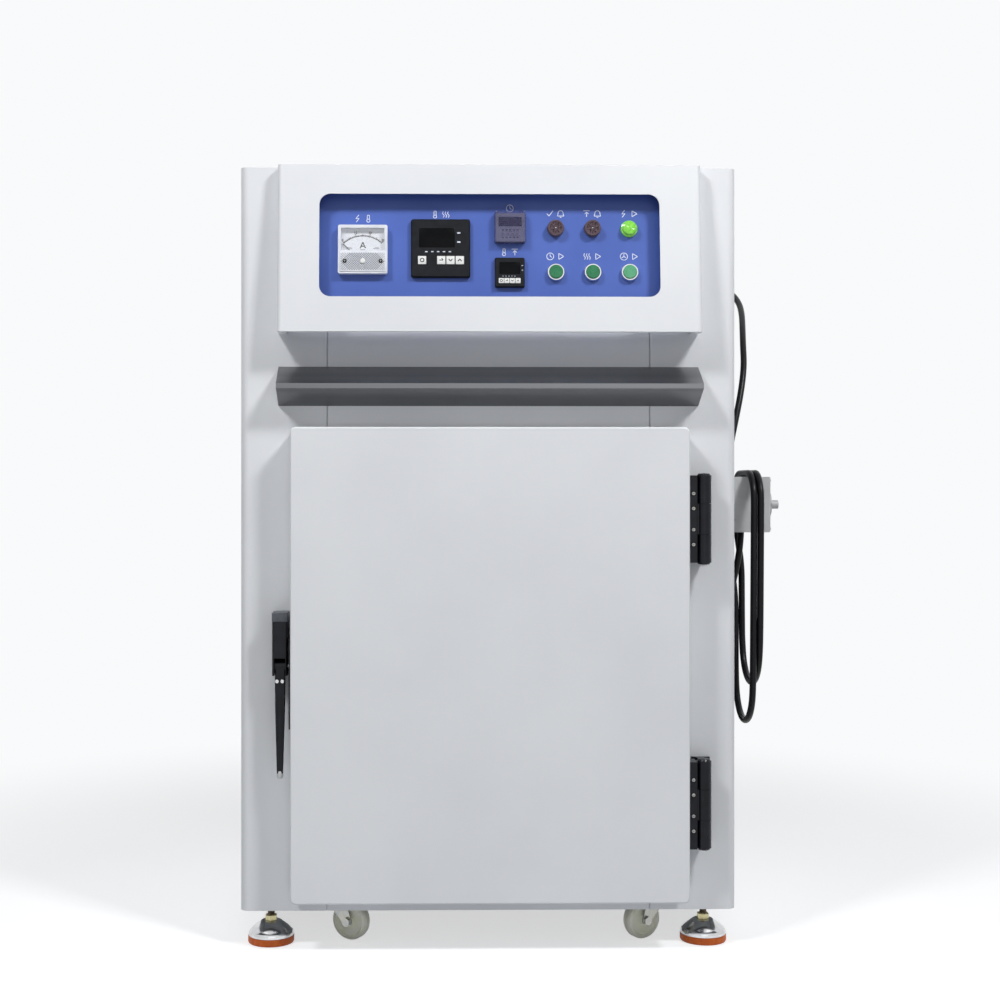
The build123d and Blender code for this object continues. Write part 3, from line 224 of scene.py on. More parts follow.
def makeMaterial(name):
    values = finishes[name]
    material = bpy.data.materials.new(name)
    material.use_nodes = True
    tree = material.node_tree
    shader = tree.nodes["Principled BSDF"]
    place = addNode(tree, "ShaderNodeTexCoord")
    drawn = addNode(tree, "ShaderNodeMapping", {"Scale": values.get("stretch", (1, 1, 1))},
                    {"Vector": place.outputs["Object"]})
    cloud = addNode(tree, "ShaderNodeTexNoise",
                    {"Scale": 1000 / values["patch"], "Detail": patternValues["cloudDetail"]},
                    {"Vector": drawn.outputs["Vector"]})
    ramp = addNode(tree, "ShaderNodeValToRGB", None, {"Fac": cloud.outputs["Fac"]})
    for stop, at, colour in zip(ramp.color_ramp.elements, patternValues["rampStops"], values["colours"]):
        stop.position = at
        stop.color = linearColour(colour)
    grain = addNode(tree, "ShaderNodeTexNoise",
                    {"Scale": 1000 / values["grain"], "Detail": patternValues["grainDetail"]},
                    {"Vector": drawn.outputs["Vector"]})
    low, high = values["rough"]
    gloss = addNode(tree, "ShaderNodeMapRange", {"To Min": low, "To Max": high},
                    {"Value": grain.outputs["Fac"]})
    bump = addNode(tree, "ShaderNodeBump",
                   {"Distance": values["depth"] * mm, "Strength": patternValues["bumpStrength"]},
                   {"Height": grain.outputs["Fac"]})
    tree.links.new(ramp.outputs["Color"], shader.inputs["Base Color"])
    tree.links.new(gloss.outputs["Result"], shader.inputs["Roughness"])
    tree.links.new(bump.outputs["Normal"], shader.inputs["Normal"])
    shader.inputs["Metallic"].default_value = values.get("metal", 0.0)
    shader.inputs["Alpha"].default_value = values.get("alpha", 1.0)      # a thin clear cover, seen through
    shader.inputs["Specular IOR Level"].default_value = values.get("shine", 0.5)
    if "glow" in values:
        tree.links.new(ramp.outputs["Color"], shader.inputs["Emission Color"])
        shader.inputs["Emission Strength"].default_value = values["glow"]
    return material


# Steps that shape new pieces, with sizes in millimetres
def finishPiece(name, materialName, body, matrix=None, sharp=35):
    piece = bpy.context.object
    if piece.mode != "OBJECT":
        bpy.ops.object.mode_set(mode="OBJECT")
    piece.name = name
    bpy.ops.object.transform_apply(location=True, rotation=True, scale=True)
    if matrix is not None:
        piece.data.transform(matrix)
    piece.data.materials.clear()
    piece.data.materials.append(materials[materialName])
    if sharp:      # degrees; flat printed marks are left unsmoothed
        bpy.ops.object.shade_smooth_by_angle(angle=math.radians(sharp))
    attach(piece, body)
    return piece


def bevelledBlock(size, centre, bevel, steps=2):
    deselectAll()
    bpy.ops.mesh.primitive_cube_add(size=1, location=Vector(centre) * mm, scale=Vector(size) * mm)
    bpy.ops.object.transform_apply(location=False, rotation=False, scale=True)
    bpy.ops.object.mode_set(mode="EDIT")
    bpy.ops.mesh.bevel(offset=bevel * mm, segments=steps, affect="EDGES")
    bpy.ops.object.mode_set(mode="OBJECT")
    return bpy.context.object


def lathe(profile, sides=40):
    rings = [(ringRadius * mm, ringHeight * mm) for ringRadius, ringHeight in profile]
    deselectAll()
    radius, height = rings[0]
    bpy.ops.mesh.primitive_circle_add(vertices=sides, radius=radius, location=(0, 0, 0), fill_type="NGON")
    bpy.ops.object.mode_set(mode="EDIT")
    bpy.ops.transform.translate(value=(0, 0, height))
    bpy.ops.mesh.select_mode(type="EDGE")
    for nextRadius, nextHeight in rings[1:]:
        bpy.ops.mesh.extrude_edges_move(TRANSFORM_OT_translate={"value": (0, 0, nextHeight - height)})
        share = nextRadius / radius
        bpy.ops.transform.resize(value=(share, share, 1), center_override=(0, 0, nextHeight))
        radius, height = nextRadius, nextHeight
    bpy.ops.mesh.edge_face_add()
    bpy.ops.mesh.select_all(action="SELECT")
    bpy.ops.mesh.normals_make_consistent(inside=False)
    bpy.ops.object.mode_set(mode="OBJECT")
    return bpy.context.object


def joined(parts):
    deselectAll()
    for part in parts:
        part.select_set(True)
    bpy.context.view_layer.objects.active = parts[0]
    bpy.ops.object.join()
    return bpy.context.object


def copied(piece, matrix):
    deselectAll()
    other = piece.copy()
    other.data = piece.data.copy()
    other.data.transform(matrix)
    bpy.context.scene.collection.objects.link(other)
    return other


def spread(piece, places):      # the piece goes to the first place, and a copy to each of the others
    copies = [copied(piece, place) for place in places[1:]]
    piece.data.transform(places[0])
    return [piece] + copies


def turnTo(direction, point):
    rotation = Vector(direction).to_track_quat("Z", "Y").to_matrix().to_4x4()
    return Matrix.Translation(point) @ rotation


# Control panel: places are across and up from its middle
panelValues = {
    "leanBack": 25,      # of the hood's front over its height
    "hoodHeight": 272,
    "hoodDepth": 50,      # from the casing's front to the foot of the hood's front
    "middleUp": 140,      # from that foot to the panel's middle
    "recess": 24,      # of the panel behind the hood's front
    "height": 1140,      # of the panel's middle above the floor
}


def panelPlace():
    lean = math.atan(panelValues["leanBack"] / panelValues["hoodHeight"])
    matrix = Matrix((
        (1, 0, 0, 0),
        (0, math.sin(lean), -math.cos(lean), 0),
        (0, math.cos(lean), math.sin(lean), 0),
        (0, 0, 0, 1),
    ))
    back = panelValues["leanBack"] * panelValues["middleUp"] / panelValues["hoodHeight"]
    y = -(panelValues["hoodDepth"] - back) + panelValues["recess"] / math.cos(lean)
    matrix.translation = spot(0, y, panelValues["height"])
    return matrix


panelMatrix = panelPlace()


def onPanel(across, up):
    return panelMatrix @ Matrix.Translation((across * mm, up * mm, 0))


def bar(start, end, width, low, high):
    along = Vector(end) - Vector(start)
    middle = (Vector(start) + Vector(end)) / 2 * mm
    piece = bevelledBlock((along.length, width, high - low), (0, 0, 0), min(width, high - low) * 0.2, 1)
    turn = Matrix.Rotation(math.atan2(along.y, along.x), 4, "Z")
    piece.data.transform(Matrix.Translation((middle.x, middle.y, (low + high) / 2 * mm)) @ turn)
    return piece


def ringMark(centre, radius, width, low, high, start=0, end=360, steps=24):
    deselectAll()
    bpy.ops.mesh.primitive_plane_add(size=1, location=(0, 0, 0))
    bpy.ops.object.mode_set(mode="EDIT")
    bpy.ops.transform.resize(value=(width * mm, (high - low) * mm, 1), center_override=(0, 0, 0))
    bpy.ops.object.mode_set(mode="OBJECT")
    piece = bpy.context.object
    upright = Matrix.Rotation(math.radians(90), 4, "X")
    piece.data.transform(Matrix.Translation((radius * mm, 0, (low + high) / 2 * mm)) @ upright)
    piece.data.transform(Matrix.Rotation(math.radians(start), 4, "Z"))
    bpy.ops.object.mode_set(mode="EDIT")
    bpy.ops.mesh.select_all(action="SELECT")
    bpy.ops.mesh.spin(steps=steps, angle=math.radians(end - start), center=(0, 0, 0), axis=(0, 0, -1))
    bpy.ops.mesh.select_all(action="SELECT")
    bpy.ops.mesh.remove_doubles(threshold=0.00001)
    bpy.ops.mesh.normals_make_consistent(inside=False)
    bpy.ops.object.mode_set(mode="OBJECT")
    piece.data.transform(Matrix.Translation((centre[0] * mm, centre[1] * mm, 0)))
    return piece


def printed(text, size, u, v, low, high):
    deselectAll()
    bpy.ops.object.text_add()
    words = bpy.context.object
    words.data.body = text
    words.data.size = size * mm
    words.data.align_x, words.data.align_y = "CENTER", "CENTER"
    words.data.extrude = (high - low) / 2 * mm
    words.data.resolution_u = 3
    words.data.offset = size * mm * 0.03      # a bolder stroke
    bpy.ops.object.convert(target="MESH")
    words = bpy.context.object
    words.data.transform(Matrix.Translation((u * mm, v * mm, (low + high) / 2 * mm)))
    return words


def screwHead(radius, height, finish="zincPlate", slotFinish="blackInkAndPaintedSlotShade"):
    head = lathe([(radius, 0), (radius, height * 0.6), (radius * 0.8, height)], 20)
    head.data.materials.append(materials[finish])
    half = radius * 0.6
    # the cross slot is drawn as flat bars in the slot finish; the default black is painted shade for the
    # slot's recess
    slotBar = bar((-half, 0), (half, 0), half * 0.37, height * 0.9, height * 1.04)
    slotBar.data.materials.append(materials[slotFinish])
    cross = spread(slotBar, [Matrix.Identity(4), Matrix.Rotation(math.radians(90), 4, "Z")])
    return joined([head] + cross)


def rideScrews(name, body, heads):
    screws = joined(heads)
    screws.name = name
    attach(screws, body)


materials = {name: makeMaterial(name) for name in finishes}
print("materials made:", len(materials))
makeCamera()
makeLamps()

# Power cord: gland, down behind the isolator, a hank of two turns over it, and its plug
cordValues = {
    "radius": 5.75,
    "lead": [
        (429.3, 520, 1150), (458, 520, 1150), (487, 507, 1141), (503, 482, 1124), (508, 449, 1103),
        (504, 410, 1078), (496, 368, 1048), (489, 332, 1014), (484, 300, 972), (474, 278, 925),
        (461, 261, 876), (448, 249, 826), (439, 242, 774), (436, 239, 720), (440, 239, 664),
        (448, 240.5, 608), (455.75, 242, 554),
    ],
    "middle": 170,      # of the hank, back from the casing's front
    "strandX": (455.75, 467.35),      # one for each turn, as are the next two
    "lowZ": (342, 408),
    "fallZ": ((490,), (560, 490)),
    "bend": (69, 68),      # half width and height of a turn's lower bend
    "riseZ": (520, 600, 680, 718),
    "fold": ((-76, 748), (-50, 774.6), (-17, 774.6), (17, 774.6), (50, 774.6)),
    "lowHalf": (68, 372),      # the hank's half width at its lower end, and that end's height
    "highHalf": (79, 774),
    "tail": [
        (467.4, 247, 735), (466, 238, 695), (461, 228, 640), (452, 227, 596), (441, 230, 548),
        (431, 235, 500), (427, 238, 450), (427, 239, 412), (427, 239, 376),
    ],
    "length": 2.93,
}
plugValues = {
    "place": (427, 239, 376),
    "profile": [
        (6.4, 0), (7.2, -3), (6.6, -4), (7.6, -7), (7.0, -8), (8.2, -11), (13, -17), (17, -22), (18.8, -27),
        (18.9, -33), (18.2, -34), (18.9, -35), (18.9, -38), (18.2, -39), (18.9, -40), (18.6, -45), (16.5, -48),
    ],
    "pin": [(2.4, -47), (2.4, -65), (2.0, -66.6), (1.0, -67)],
    "pinAside": 9.5,
}
reliefValues = {"place": (428, 520, 1150), "collars": 5, "pitch": 4, "radius": 8.2, "taper": 0.35}


def hankHalf(z):
    (lowHalf, lowZ), (highHalf, highZ) = cordValues["lowHalf"], cordValues["highHalf"]
    return lowHalf + (highHalf - lowHalf) * (z - lowZ) / (highZ - lowZ)


def hankTurn(turn):
    x, low = cordValues["strandX"][turn], cordValues["lowZ"][turn]
    middle = cordValues["middle"]
    wide, deep = cordValues["bend"]
    points = [(x, middle + hankHalf(z), z) for z in cordValues["fallZ"][turn]]
    for step in range(7):
        angle = math.radians(step * 30)
        points.append((x, middle + wide * math.cos(angle), low + deep - deep * math.sin(angle)))
    points += [(x, middle - hankHalf(z), z) for z in cordValues["riseZ"]]
    points += [(x, middle + y, z) for y, z in cordValues["fold"]]
    return points


def cordPoints():
    first, second = cordValues["strandX"]
    middle = cordValues["middle"]
    points = cordValues["lead"] + hankTurn(0)
    points.append((first, middle + 77, 748))      # the first turn passes over to the second
    points.append((first + 0.5, middle + hankHalf(705), 705))
    points.append((first + 4.5, middle + hankHalf(660), 660))
    points.append((second, middle + hankHalf(610), 610))
    points += hankTurn(1)
    points.append((467.4, middle + 76, 752))      # and the second to the tail
    return points + cordValues["tail"]


def makeCord():
    curve = bpy.data.curves.new("powerCord", "CURVE")
    curve.dimensions = "3D"
    curve.resolution_u = 8
    curve.bevel_depth = cordValues["radius"] * mm
    curve.bevel_resolution = 5
    curve.use_fill_caps = True
    line = curve.splines.new("NURBS")
    points = cordPoints()
    line.points.add(len(points) - 1)
    for point, place in zip(line.points, points):
        point.co = (*spot(*place), 1.0)
    line.order_u = 3
    line.use_endpoint_u = True
    curve.materials.append(materials["cordPvc"])
    cord = bpy.data.objects.new("powerCord", curve)
    bpy.context.scene.collection.objects.link(cord)
    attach(cord, "casing")
    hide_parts("power_cord", "power_cord_coil")
    return cord


def makePlug():
    place = Matrix.Translation(spot(*plugValues["place"]))
    lathe(plugValues["profile"], 48)
    plug = finishPiece("plugBody", "blackAbs", "casing", place)
    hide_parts("power_plug")
    aside = plugValues["pinAside"] * mm
    joined(spread(lathe(plugValues["pin"], 20), [Matrix.Translation((0, y, 0)) for y in (-aside, aside)]))
    pinPair = finishPiece("plugPins", "pinBrass", "casing", place)
    return plug, pinPair


def makeStrainRelief():
    profile = [(8.4, 0), (8.4, 3)]
    for number in range(reliefValues["collars"]):
        z = 4 + number * reliefValues["pitch"]
        r = reliefValues["radius"] - number * reliefValues["taper"]
        profile += [(r - 0.9, z), (r - 0.9, z + 1.2), (r, z + 1.6), (r - 0.1, z + 3.6)]
    profile += [(6.3, 25), (5.9, 26)]
    lathe(profile, 32)
    place = turnTo((1, 0, 0), spot(*reliefValues["place"]))
    finishPiece("strainRelief", "blackSilicone", "casing", place)


cord = makeCord()
plug, pinPair = makePlug()
makeStrainRelief()
print("cord made")

# Finishes of the pieces that come from the frame
nodeFinishes = {
    "powderCoat": ["side_panel_left", "side_panel_right", "front_panels", "top_panel", "back_panel",
                   "control_hood", "door_skin"],
    "innerPowderCoat": ["base_frame", "motor_deck"],
    "bluePowderCoat": ["control_panel"],
    # stainless darkened with painted shade: the deflector, door liner and shelves
    "brushedStainlessPaintedShade": ["heat_deflector", "door_liner", "shelf_lower", "shelf_upper"],
    "rolledStainless": ["chamber_liner", "air_ducts"],
    "mineralWool": ["insulation", "door_insulation"],
    "drawnSteel": ["heater_elements", "fan_shaft", "latch_bolt"],
    "zincPlate": ["fan_impeller", "caster_mounts"],
    "hammerPaint": ["fan_motor"],
    "blackSilicone": ["door_seal"],
    "blackEpoxyCoat": ["hinge_frame_leaves", "hinge_door_leaves", "latch_body", "latch_lever", "latch_keeper",
                       "lifting_eyes"],
    "orangeUrethane": ["foot_pads"],
    "chromePlate": ["foot_stems", "button_bezels"],
    "greenPolycarbonate": ["button_timer", "button_heat"],
    "paleGreenPolycarbonate": ["button_fan"],
    "whiteStyrene": ["ammeter_case"],
    "clearAcrylic": ["ammeter_lens"],
    "smokedAcrylic": ["timer_cover"],
    "blackAbs": ["temperature_controller", "limit_controller", "cable_gland", "power_plug"],
    "blackInkAndPaintedSlotShade": ["ammeter_needle"],
    "violetAbs": ["timer_module"],
    "violetMoulding": ["alarm_buzzers"],
    "limeLens": ["power_lamp"],
    "greyAbs": ["isolator_housing", "isolator_knob"],
    "cordPvc": ["power_cord", "power_cord_coil"],
    "nylonCream": [],
}
for corner in ("front_left", "front_right", "rear_left", "rear_right"):
    nodeFinishes["zincPlate"].append("caster_fork_" + corner)
    nodeFinishes["nylonCream"].append("caster_wheel_" + corner)


def dressNodes():
    for materialName, names in nodeFinishes.items():
        for name in names:
            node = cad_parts[name]
            if not node.material_slots:
                node.data.materials.append(materials[materialName])
            for slot in node.material_slots:
                slot.material = materials[materialName]


dressNodes()
print("frame pieces finished")

# Ammeter
meterValues = {
    "place": (-205, -5.5),
    "dial": ((69.4, 36.4, 0.4), (0, 16.5, 3.25)),      # size and middle, as for the cover
    "ink": (3.42, 3.6),      # underside and top of the print
    "pivot": -22,
    "arc": 45.5,
    "sweep": 42,      # degrees to each side
    "divisions": 30,
    "numbers": ("0", "10", "20", "30"),
    "letter": [((-4.2, 3), (0, 13)), ((0, 13), (4.2, 3)), ((-2.6, 6.4), (2.6, 6.4))],
    "sideLines": (-22, 22),
    "cover": ((75, 34, 2), (0, -20.5, 11)),
    "adjuster": [(4.2, 11.8), (4.2, 13.2), (3.4, 13.9), (1.2, 14.0)],
    "screws": {"Left": -29, "Right": 29},
}
hatchValues = {
    "pitch": 3.8, "count": 9, "reach": 14, "half": 35.5, "low": -34.5, "high": -6.5, "ink": (11.9, 12.3),
}


def meterMarks():
    pivot, arc, sweep, divisions = [meterValues[key] for key in ("pivot", "arc", "sweep", "divisions")]
    low, high = meterValues["ink"]
    marks = [ringMark((0, pivot), arc, 1.2, low, high, 90 - sweep, 90 + sweep, 30)]
    for number in range(divisions + 1):
        angle = math.radians(90 - sweep + 2 * sweep * number / divisions)
        long = number % 5 == 0
        reach = arc + (4.2 if number % 10 == 0 else 3.0 if long else 2.0)
        start = (math.cos(angle) * (arc - 1.4), pivot + math.sin(angle) * (arc - 1.4))
        end = (math.cos(angle) * reach, pivot + math.sin(angle) * reach)
        marks.append(bar(start, end, 1.1 if long else 0.7, low, high))
    for number, text in enumerate(meterValues["numbers"]):
        angle = math.radians(90 + sweep - 2 * sweep * number / 3)
        across = math.cos(angle) * (arc + 5.6) * 0.96
        marks.append(printed(text, 5.4, across, pivot + math.sin(angle) * (arc + 6.2), low, high))
    marks += [bar(start, end, 1.7, low, high + 0.02) for start, end in meterValues["letter"]]
    marks.append(bar((-4, 0.4), (4, 0.4), 0.8, low, high))
    for x in meterValues["sideLines"]:
        marks.append(bar((x - 5, 2.2), (x + 5, 2.2), 0.8, low, high))
        marks.append(bar((x - 3, 4.4), (x + 4, 4.4), 0.5, low, high))
    return marks


def hatchLines():
    half, low, high = hatchValues["half"], hatchValues["low"], hatchValues["high"]
    lines = []
    for number in range(-hatchValues["count"], hatchValues["count"] + 1):
        for lean in (-1, 1):
            start = [number * hatchValues["pitch"] - hatchValues["reach"] * lean, low]
            end = [number * hatchValues["pitch"] + hatchValues["reach"] * lean, high]
            if abs(start[0]) > half:      # cut off at the cover's edge, at 45 degrees
                start = [math.copysign(half, start[0]), low + abs(start[0]) - half]
            if abs(end[0]) > half:
                end = [math.copysign(half, end[0]), high - abs(end[0]) + half]
            lines.append(bar(start, end, 0.7, *hatchValues["ink"]))
    return lines


def makeMeter():
    place = onPanel(*meterValues["place"])
    bevelledBlock(*meterValues["dial"], 0.1, 1)
    finishPiece("meterDial", "dialCard", "casing", place)
    joined(meterMarks())
    finishPiece("meterScale", "blackInkAndPaintedSlotShade", "casing", place, sharp=0)
    bevelledBlock(*meterValues["cover"], 0.8, 3)
    finishPiece("meterCover", "whiteStyrene", "casing", place)
    joined(hatchLines())
    finishPiece("meterHatching", "greyInk", "casing", place, sharp=0)
    for side, x in meterValues["screws"].items():
        screw = screwHead(3.2, 1.4, "blackEpoxyCoat", "zincPlate")
        screw.name = "meterScrew" + side
        screw.data.transform(place @ Matrix.Translation((x * mm, -20 * mm, 12 * mm)))
        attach(screw, "casing")
    lathe(meterValues["adjuster"], 28)
    finishPiece("meterAdjuster", "whiteKeys", "casing", place @ Matrix.Translation((0, -20 * mm, 0)))


makeMeter()
print("meter made")

# Controllers and timer: a screen is across, up, width and height
deviceValues = {
    "controller": {
        "place": (-79, -3), "screen": (-6, 17, 58, 32), "keys": (-30, 1, 16, 31),
        "keyRow": -20, "keySize": 13.4, "keyFinish": "whiteKeys", "markScale": 1.0,
    },
    "limit": {
        "place": (33, -42.5), "screen": (0, 7, 34, 20), "keys": (-14, -5, 4, 13),
        "keyRow": -14, "keySize": 8.3, "keyFinish": "whiteKeys", "markScale": 0.5,
    },
    "timer": {
        "place": (34, 31), "screen": (0, 10, 38, 16), "keys": (-12, -4, 4, 12),
        "keyRow": -10, "keySize": 6, "keyFinish": "violetAbs", "markScale": 0.0,
    },
}
faceValues = {"screenOut": 7.55, "keyOut": 8.2, "keyInk": (8.88, 9.0), "faceInk": (7.98, 8.1)}
keyStrokes = (      # for each key, in halves of its mark; the first key has a ring instead
    [],
    [((-1, 0), (1, 0)), ((0.2, 1), (1, 0))],
    [((-1, 0.6), (0, -0.6)), ((1, 0.6), (0, -0.6))],
    [((-1, -0.6), (0, 0.6)), ((1, -0.6), (0, 0.6))],
)
timerRows = {
    "rows": ((-3.4, 1.6), (-5.6, 1.0), (-16.2, 2.0)),      # up, and height of its marks
    "columns": (-12, -6, 0, 6, 12),
    "ink": (7.98, 8.12),
}


def keyMarks(values):
    half, row = values["keySize"] * 0.22, values["keyRow"]
    low, high = faceValues["keyInk"]
    marks = []
    for keyX, strokes in zip(values["keys"], keyStrokes):
        if not strokes:
            marks.append(ringMark((keyX, row), half, half * 0.5, low, high))
        for (startX, startY), (endX, endY) in strokes:
            start = (keyX + startX * half, row + startY * half)
            end = (keyX + endX * half, row + endY * half)
            marks.append(bar(start, end, half * 0.5, low, high))
    return marks


def faceMarks(values):
    x, y, width, height = values["screen"]
    scale = values["markScale"]
    low, high = faceValues["faceInk"]
    left, right, under = x - width / 2, x + width / 2, y - height / 2 - 7 * scale
    marks = []
    for number in range(5):      # below the screen
        start = left + (10 + 9.5 * number) * scale
        marks.append(bar((start, under), (start + 4 * scale, under), 1.6 * scale, low, high))
    for up in (-7, 8):      # and to its right
        row = y + up * scale
        marks.append(bar((right + 4 * scale, row), (right + 9 * scale, row), 2.2 * scale, low, high))
    return marks


def makeDevice(name):
    values = deviceValues[name]
    place = onPanel(*values["place"])
    x, y, width, height = values["screen"]
    bevelledBlock((width - 0.6, height - 0.6, 0.9), (x, y, faceValues["screenOut"]), 0.2, 2)
    finishPiece(name + "Screen", "screenAcrylic", "casing", place)
    key = bevelledBlock((values["keySize"], values["keySize"], 1.4), (0, 0, 0), 0.5, 3)
    keyPlaces = [Vector((keyX, values["keyRow"], faceValues["keyOut"])) * mm for keyX in values["keys"]]
    joined(spread(key, [Matrix.Translation(keyPlace) for keyPlace in keyPlaces]))
    finishPiece(name + "Keys", values["keyFinish"], "casing", place)
    joined(keyMarks(values))
    finishPiece(name + "KeyMarks", "blackInkAndPaintedSlotShade", "casing", place, sharp=0)
    if values["markScale"]:
        joined(faceMarks(values))
        finishPiece(name + "Marks", "whiteInk", "casing", place, sharp=0)


def makeTimerRows():
    rows = []
    for row, tall in timerRows["rows"]:
        rows += [bar((x - 1.6, row), (x + 1.6, row), tall, *timerRows["ink"]) for x in timerRows["columns"]]
    joined(rows)
    finishPiece("timerRows", "blackInkAndPaintedSlotShade", "casing", onPanel(*deviceValues["timer"]["place"]), sharp=0)


for deviceName in deviceValues:
    makeDevice(deviceName)
makeTimerRows()
print("instruments made")

# Buzzers and lamp
signalValues = {
    "buzzers": ((108, 31), (168, 31)),
    "lamp": (228, 31),
    "grilleRings": ((11.4, 2.6, 10.4, 40), (3.2, 1.6, 10.2, 24)),      # radius, width, top, steps
    "grilleBars": 6,
    "pin": [(1.3, 8), (1.3, 9.4), (0.8, 9.8)],
    "lens": [
        (13.5, 0), (13.5, 3), (11.6, 3.6), (11.6, 8.5), (10.8, 10.2), (9, 11.2), (8.4, 10.8), (7.2, 11.5),
        (6.4, 11.1), (5.2, 11.8), (4.4, 11.4), (3.2, 12.0), (2.4, 11.6), (1.2, 12.0),
    ],
    "rib": ((1.0, 0.9, 4.6), (11.7, 0, 6.2)),      # size and middle
    "ribs": 36,
}


def makeBuzzer(number, place):
    parts = []
    for radius, width, top, steps in signalValues["grilleRings"]:
        parts.append(ringMark((0, 0), radius, width, 8.0, top, 0, 360, steps))
    for barNumber in range(signalValues["grilleBars"]):
        angle = math.radians(barNumber * 360 / signalValues["grilleBars"] + 15)
        start, end = [(math.cos(angle) * radius, math.sin(angle) * radius) for radius in (4, 10.4)]
        parts.append(bar(start, end, 2.4, 8.0, 10.0))
    joined(parts)
    finishPiece("buzzerGrille" + str(number), "violetMoulding", "casing", place)
    lathe(signalValues["pin"], 16)
    finishPiece("buzzerPin" + str(number), "chromePlate", "casing", place)


def makeLamp():
    lens = lathe(signalValues["lens"], 48)
    step = 360 / signalValues["ribs"]
    turns = [Matrix.Rotation(math.radians(number * step), 4, "Z") for number in range(signalValues["ribs"])]
    ribs = spread(bevelledBlock(*signalValues["rib"], 0.3, 1), turns)      # one knurled post at the right edge
    joined([lens] + ribs)
    finishPiece("lampLens", "limeLens", "casing", onPanel(*signalValues["lamp"]))


for buzzerNumber, buzzerPlace in enumerate(signalValues["buzzers"], 1):
    makeBuzzer(buzzerNumber, onPanel(*buzzerPlace))
makeLamp()
print("signals made")

# White signs over the devices: a ring is across, up, radius, first and last angle
signValues = {"thick": 0.9, "ink": (0.05, 0.22), "scale": 1.35, "pitch": 13, "ringSteps": 20}
signStrokes = {
    "clock": {"rings": [(0, 0, 4.2, 0, 360)], "lines": [[(0, 2.6), (0, 0), (2, -1)]]},
    "bell": {
        "rings": [(0, 0.6, 3, 0, 180)],
        "lines": [[(-3, 0.6), (-3.8, -3), (3.8, -3), (3, 0.6)], [(-1, -4.6), (1, -4.6)]],
    },
    "tick": {"rings": [], "lines": [[(-3.6, 0), (-1, -3), (3.8, 3.4)]]},
    "heat": {
        "rings": [],
        "lines": [[(d, -3.8), (d + 1.1, -1.3), (d - 1.1, 1.3), (d, 3.8)] for d in (-3, 0, 3)],
    },
    "fan": {
        "rings": [(0, 0, 4.4, 0, 360)],
        "lines": [[(0, 0), (0, 3.2)], [(0, 0), (-2.7713, -1.6)], [(0, 0), (2.7713, -1.6)]],
    },
    "start": {"rings": [], "lines": [[(-2.6, -3.6), (-2.6, 3.6), (3.4, 0), (-2.6, -3.6)]]},
    "spark": {"rings": [], "lines": [[(1.6, 4.4), (-2, -0.2), (2, 0.2), (-1.6, -4.4)]]},
    "level": {"rings": [(0, -2.6, 1.9, 0, 360)], "lines": [[(-1.3, -1), (-1.3, 4), (1.3, 4), (1.3, -1)]]},
    "limit": {
        "rings": [],
        "lines": [[(-3.8, 3.6), (3.8, 3.6)], [(0, -4), (0, 2)], [(-2.2, -0.4), (0, 2), (2.2, -0.4)]],
    },
}
signPlaces = {
    "meterSign": ((-205, 47.5), ("spark", "level")),
    "controllerSign": ((-79, 54.5), ("level", "heat")),
    "timerSign": ((34, 65), ("clock",)),
    "limitSign": ((33, -7.5), ("level", "limit")),
    "doneAlarmSign": ((108, 56.5), ("tick", "bell")),
    "heatAlarmSign": ((168, 56.5), ("limit", "bell")),
    "powerSign": ((228, 56.5), ("spark", "start")),
    "timerStartSign": ((108, -14.5), ("clock", "start")),
    "heatStartSign": ((168, -14.5), ("heat", "start")),
    "fanStartSign": ((228, -14.5), ("fan", "start")),
}


def drawSign(strokes, shift):
    thick, (low, high) = signValues["thick"], signValues["ink"]
    parts = []
    for x, y, radius, start, end in strokes["rings"]:
        parts.append(ringMark((x + shift, y), radius, thick, low, high, start, end, signValues["ringSteps"]))
    for line in strokes["lines"]:
        points = [(x + shift, y) for x, y in line]
        parts += [bar(a, b, thick, low, high) for a, b in zip(points, points[1:])]
    return parts


def makeSigns():
    grow = Matrix.Diagonal((signValues["scale"], signValues["scale"], 1, 1))
    for name, (place, shapes) in signPlaces.items():
        parts = []
        for number, shape in enumerate(shapes):
            shift = (number - (len(shapes) - 1) / 2) * signValues["pitch"]
            parts += drawSign(signStrokes[shape], shift)
        joined(parts)
        finishPiece(name, "whiteInk", "casing", onPanel(*place) @ grow, sharp=0)


makeSigns()
print("signs made")

# Hinge screws and latch details
hingeValues = {
    "heights": {"Lower": 240, "Upper": 699.5},
    "screwRows": (-41, 17, -17, 41),
    "screws": (326.2, -50.6),      # across and back
}
latchValues = {
    "cap": (25.6, 41.6, 15),
    "capPlace": (-337.5, -21.4, 542),
    "pinEnds": {-350.4: -1, -324.6: 1},      # place across, and the way it points
    "pinPlace": (-28, 463),
    "pin": [(3.4, 0), (3.4, 0.5), (2.4, 0.9)],
    "studs": [(-342, -36.4, 439), (-333.4, -36.4, 439)],
    "stud": [(2.2, -1), (3.3, 0.6), (3.5, 2), (2.9, 3.6), (1.2, 4.6)],
    "tip": [(3.0, 0), (4.9, 1.6), (5.3, 5), (5.2, 11), (4.6, 12)],
    "tipPlace": (-337.5, -35, 282.6),
}


def makeHingeScrews():
    x, y = hingeValues["screws"]
    for name, height in hingeValues["heights"].items():
        places = [turnTo((0, -1, 0), spot(x, y, height + row)) for row in hingeValues["screwRows"]]
        rideScrews("hingeScrews" + name, "door", spread(screwHead(2.9, 1.3), places))


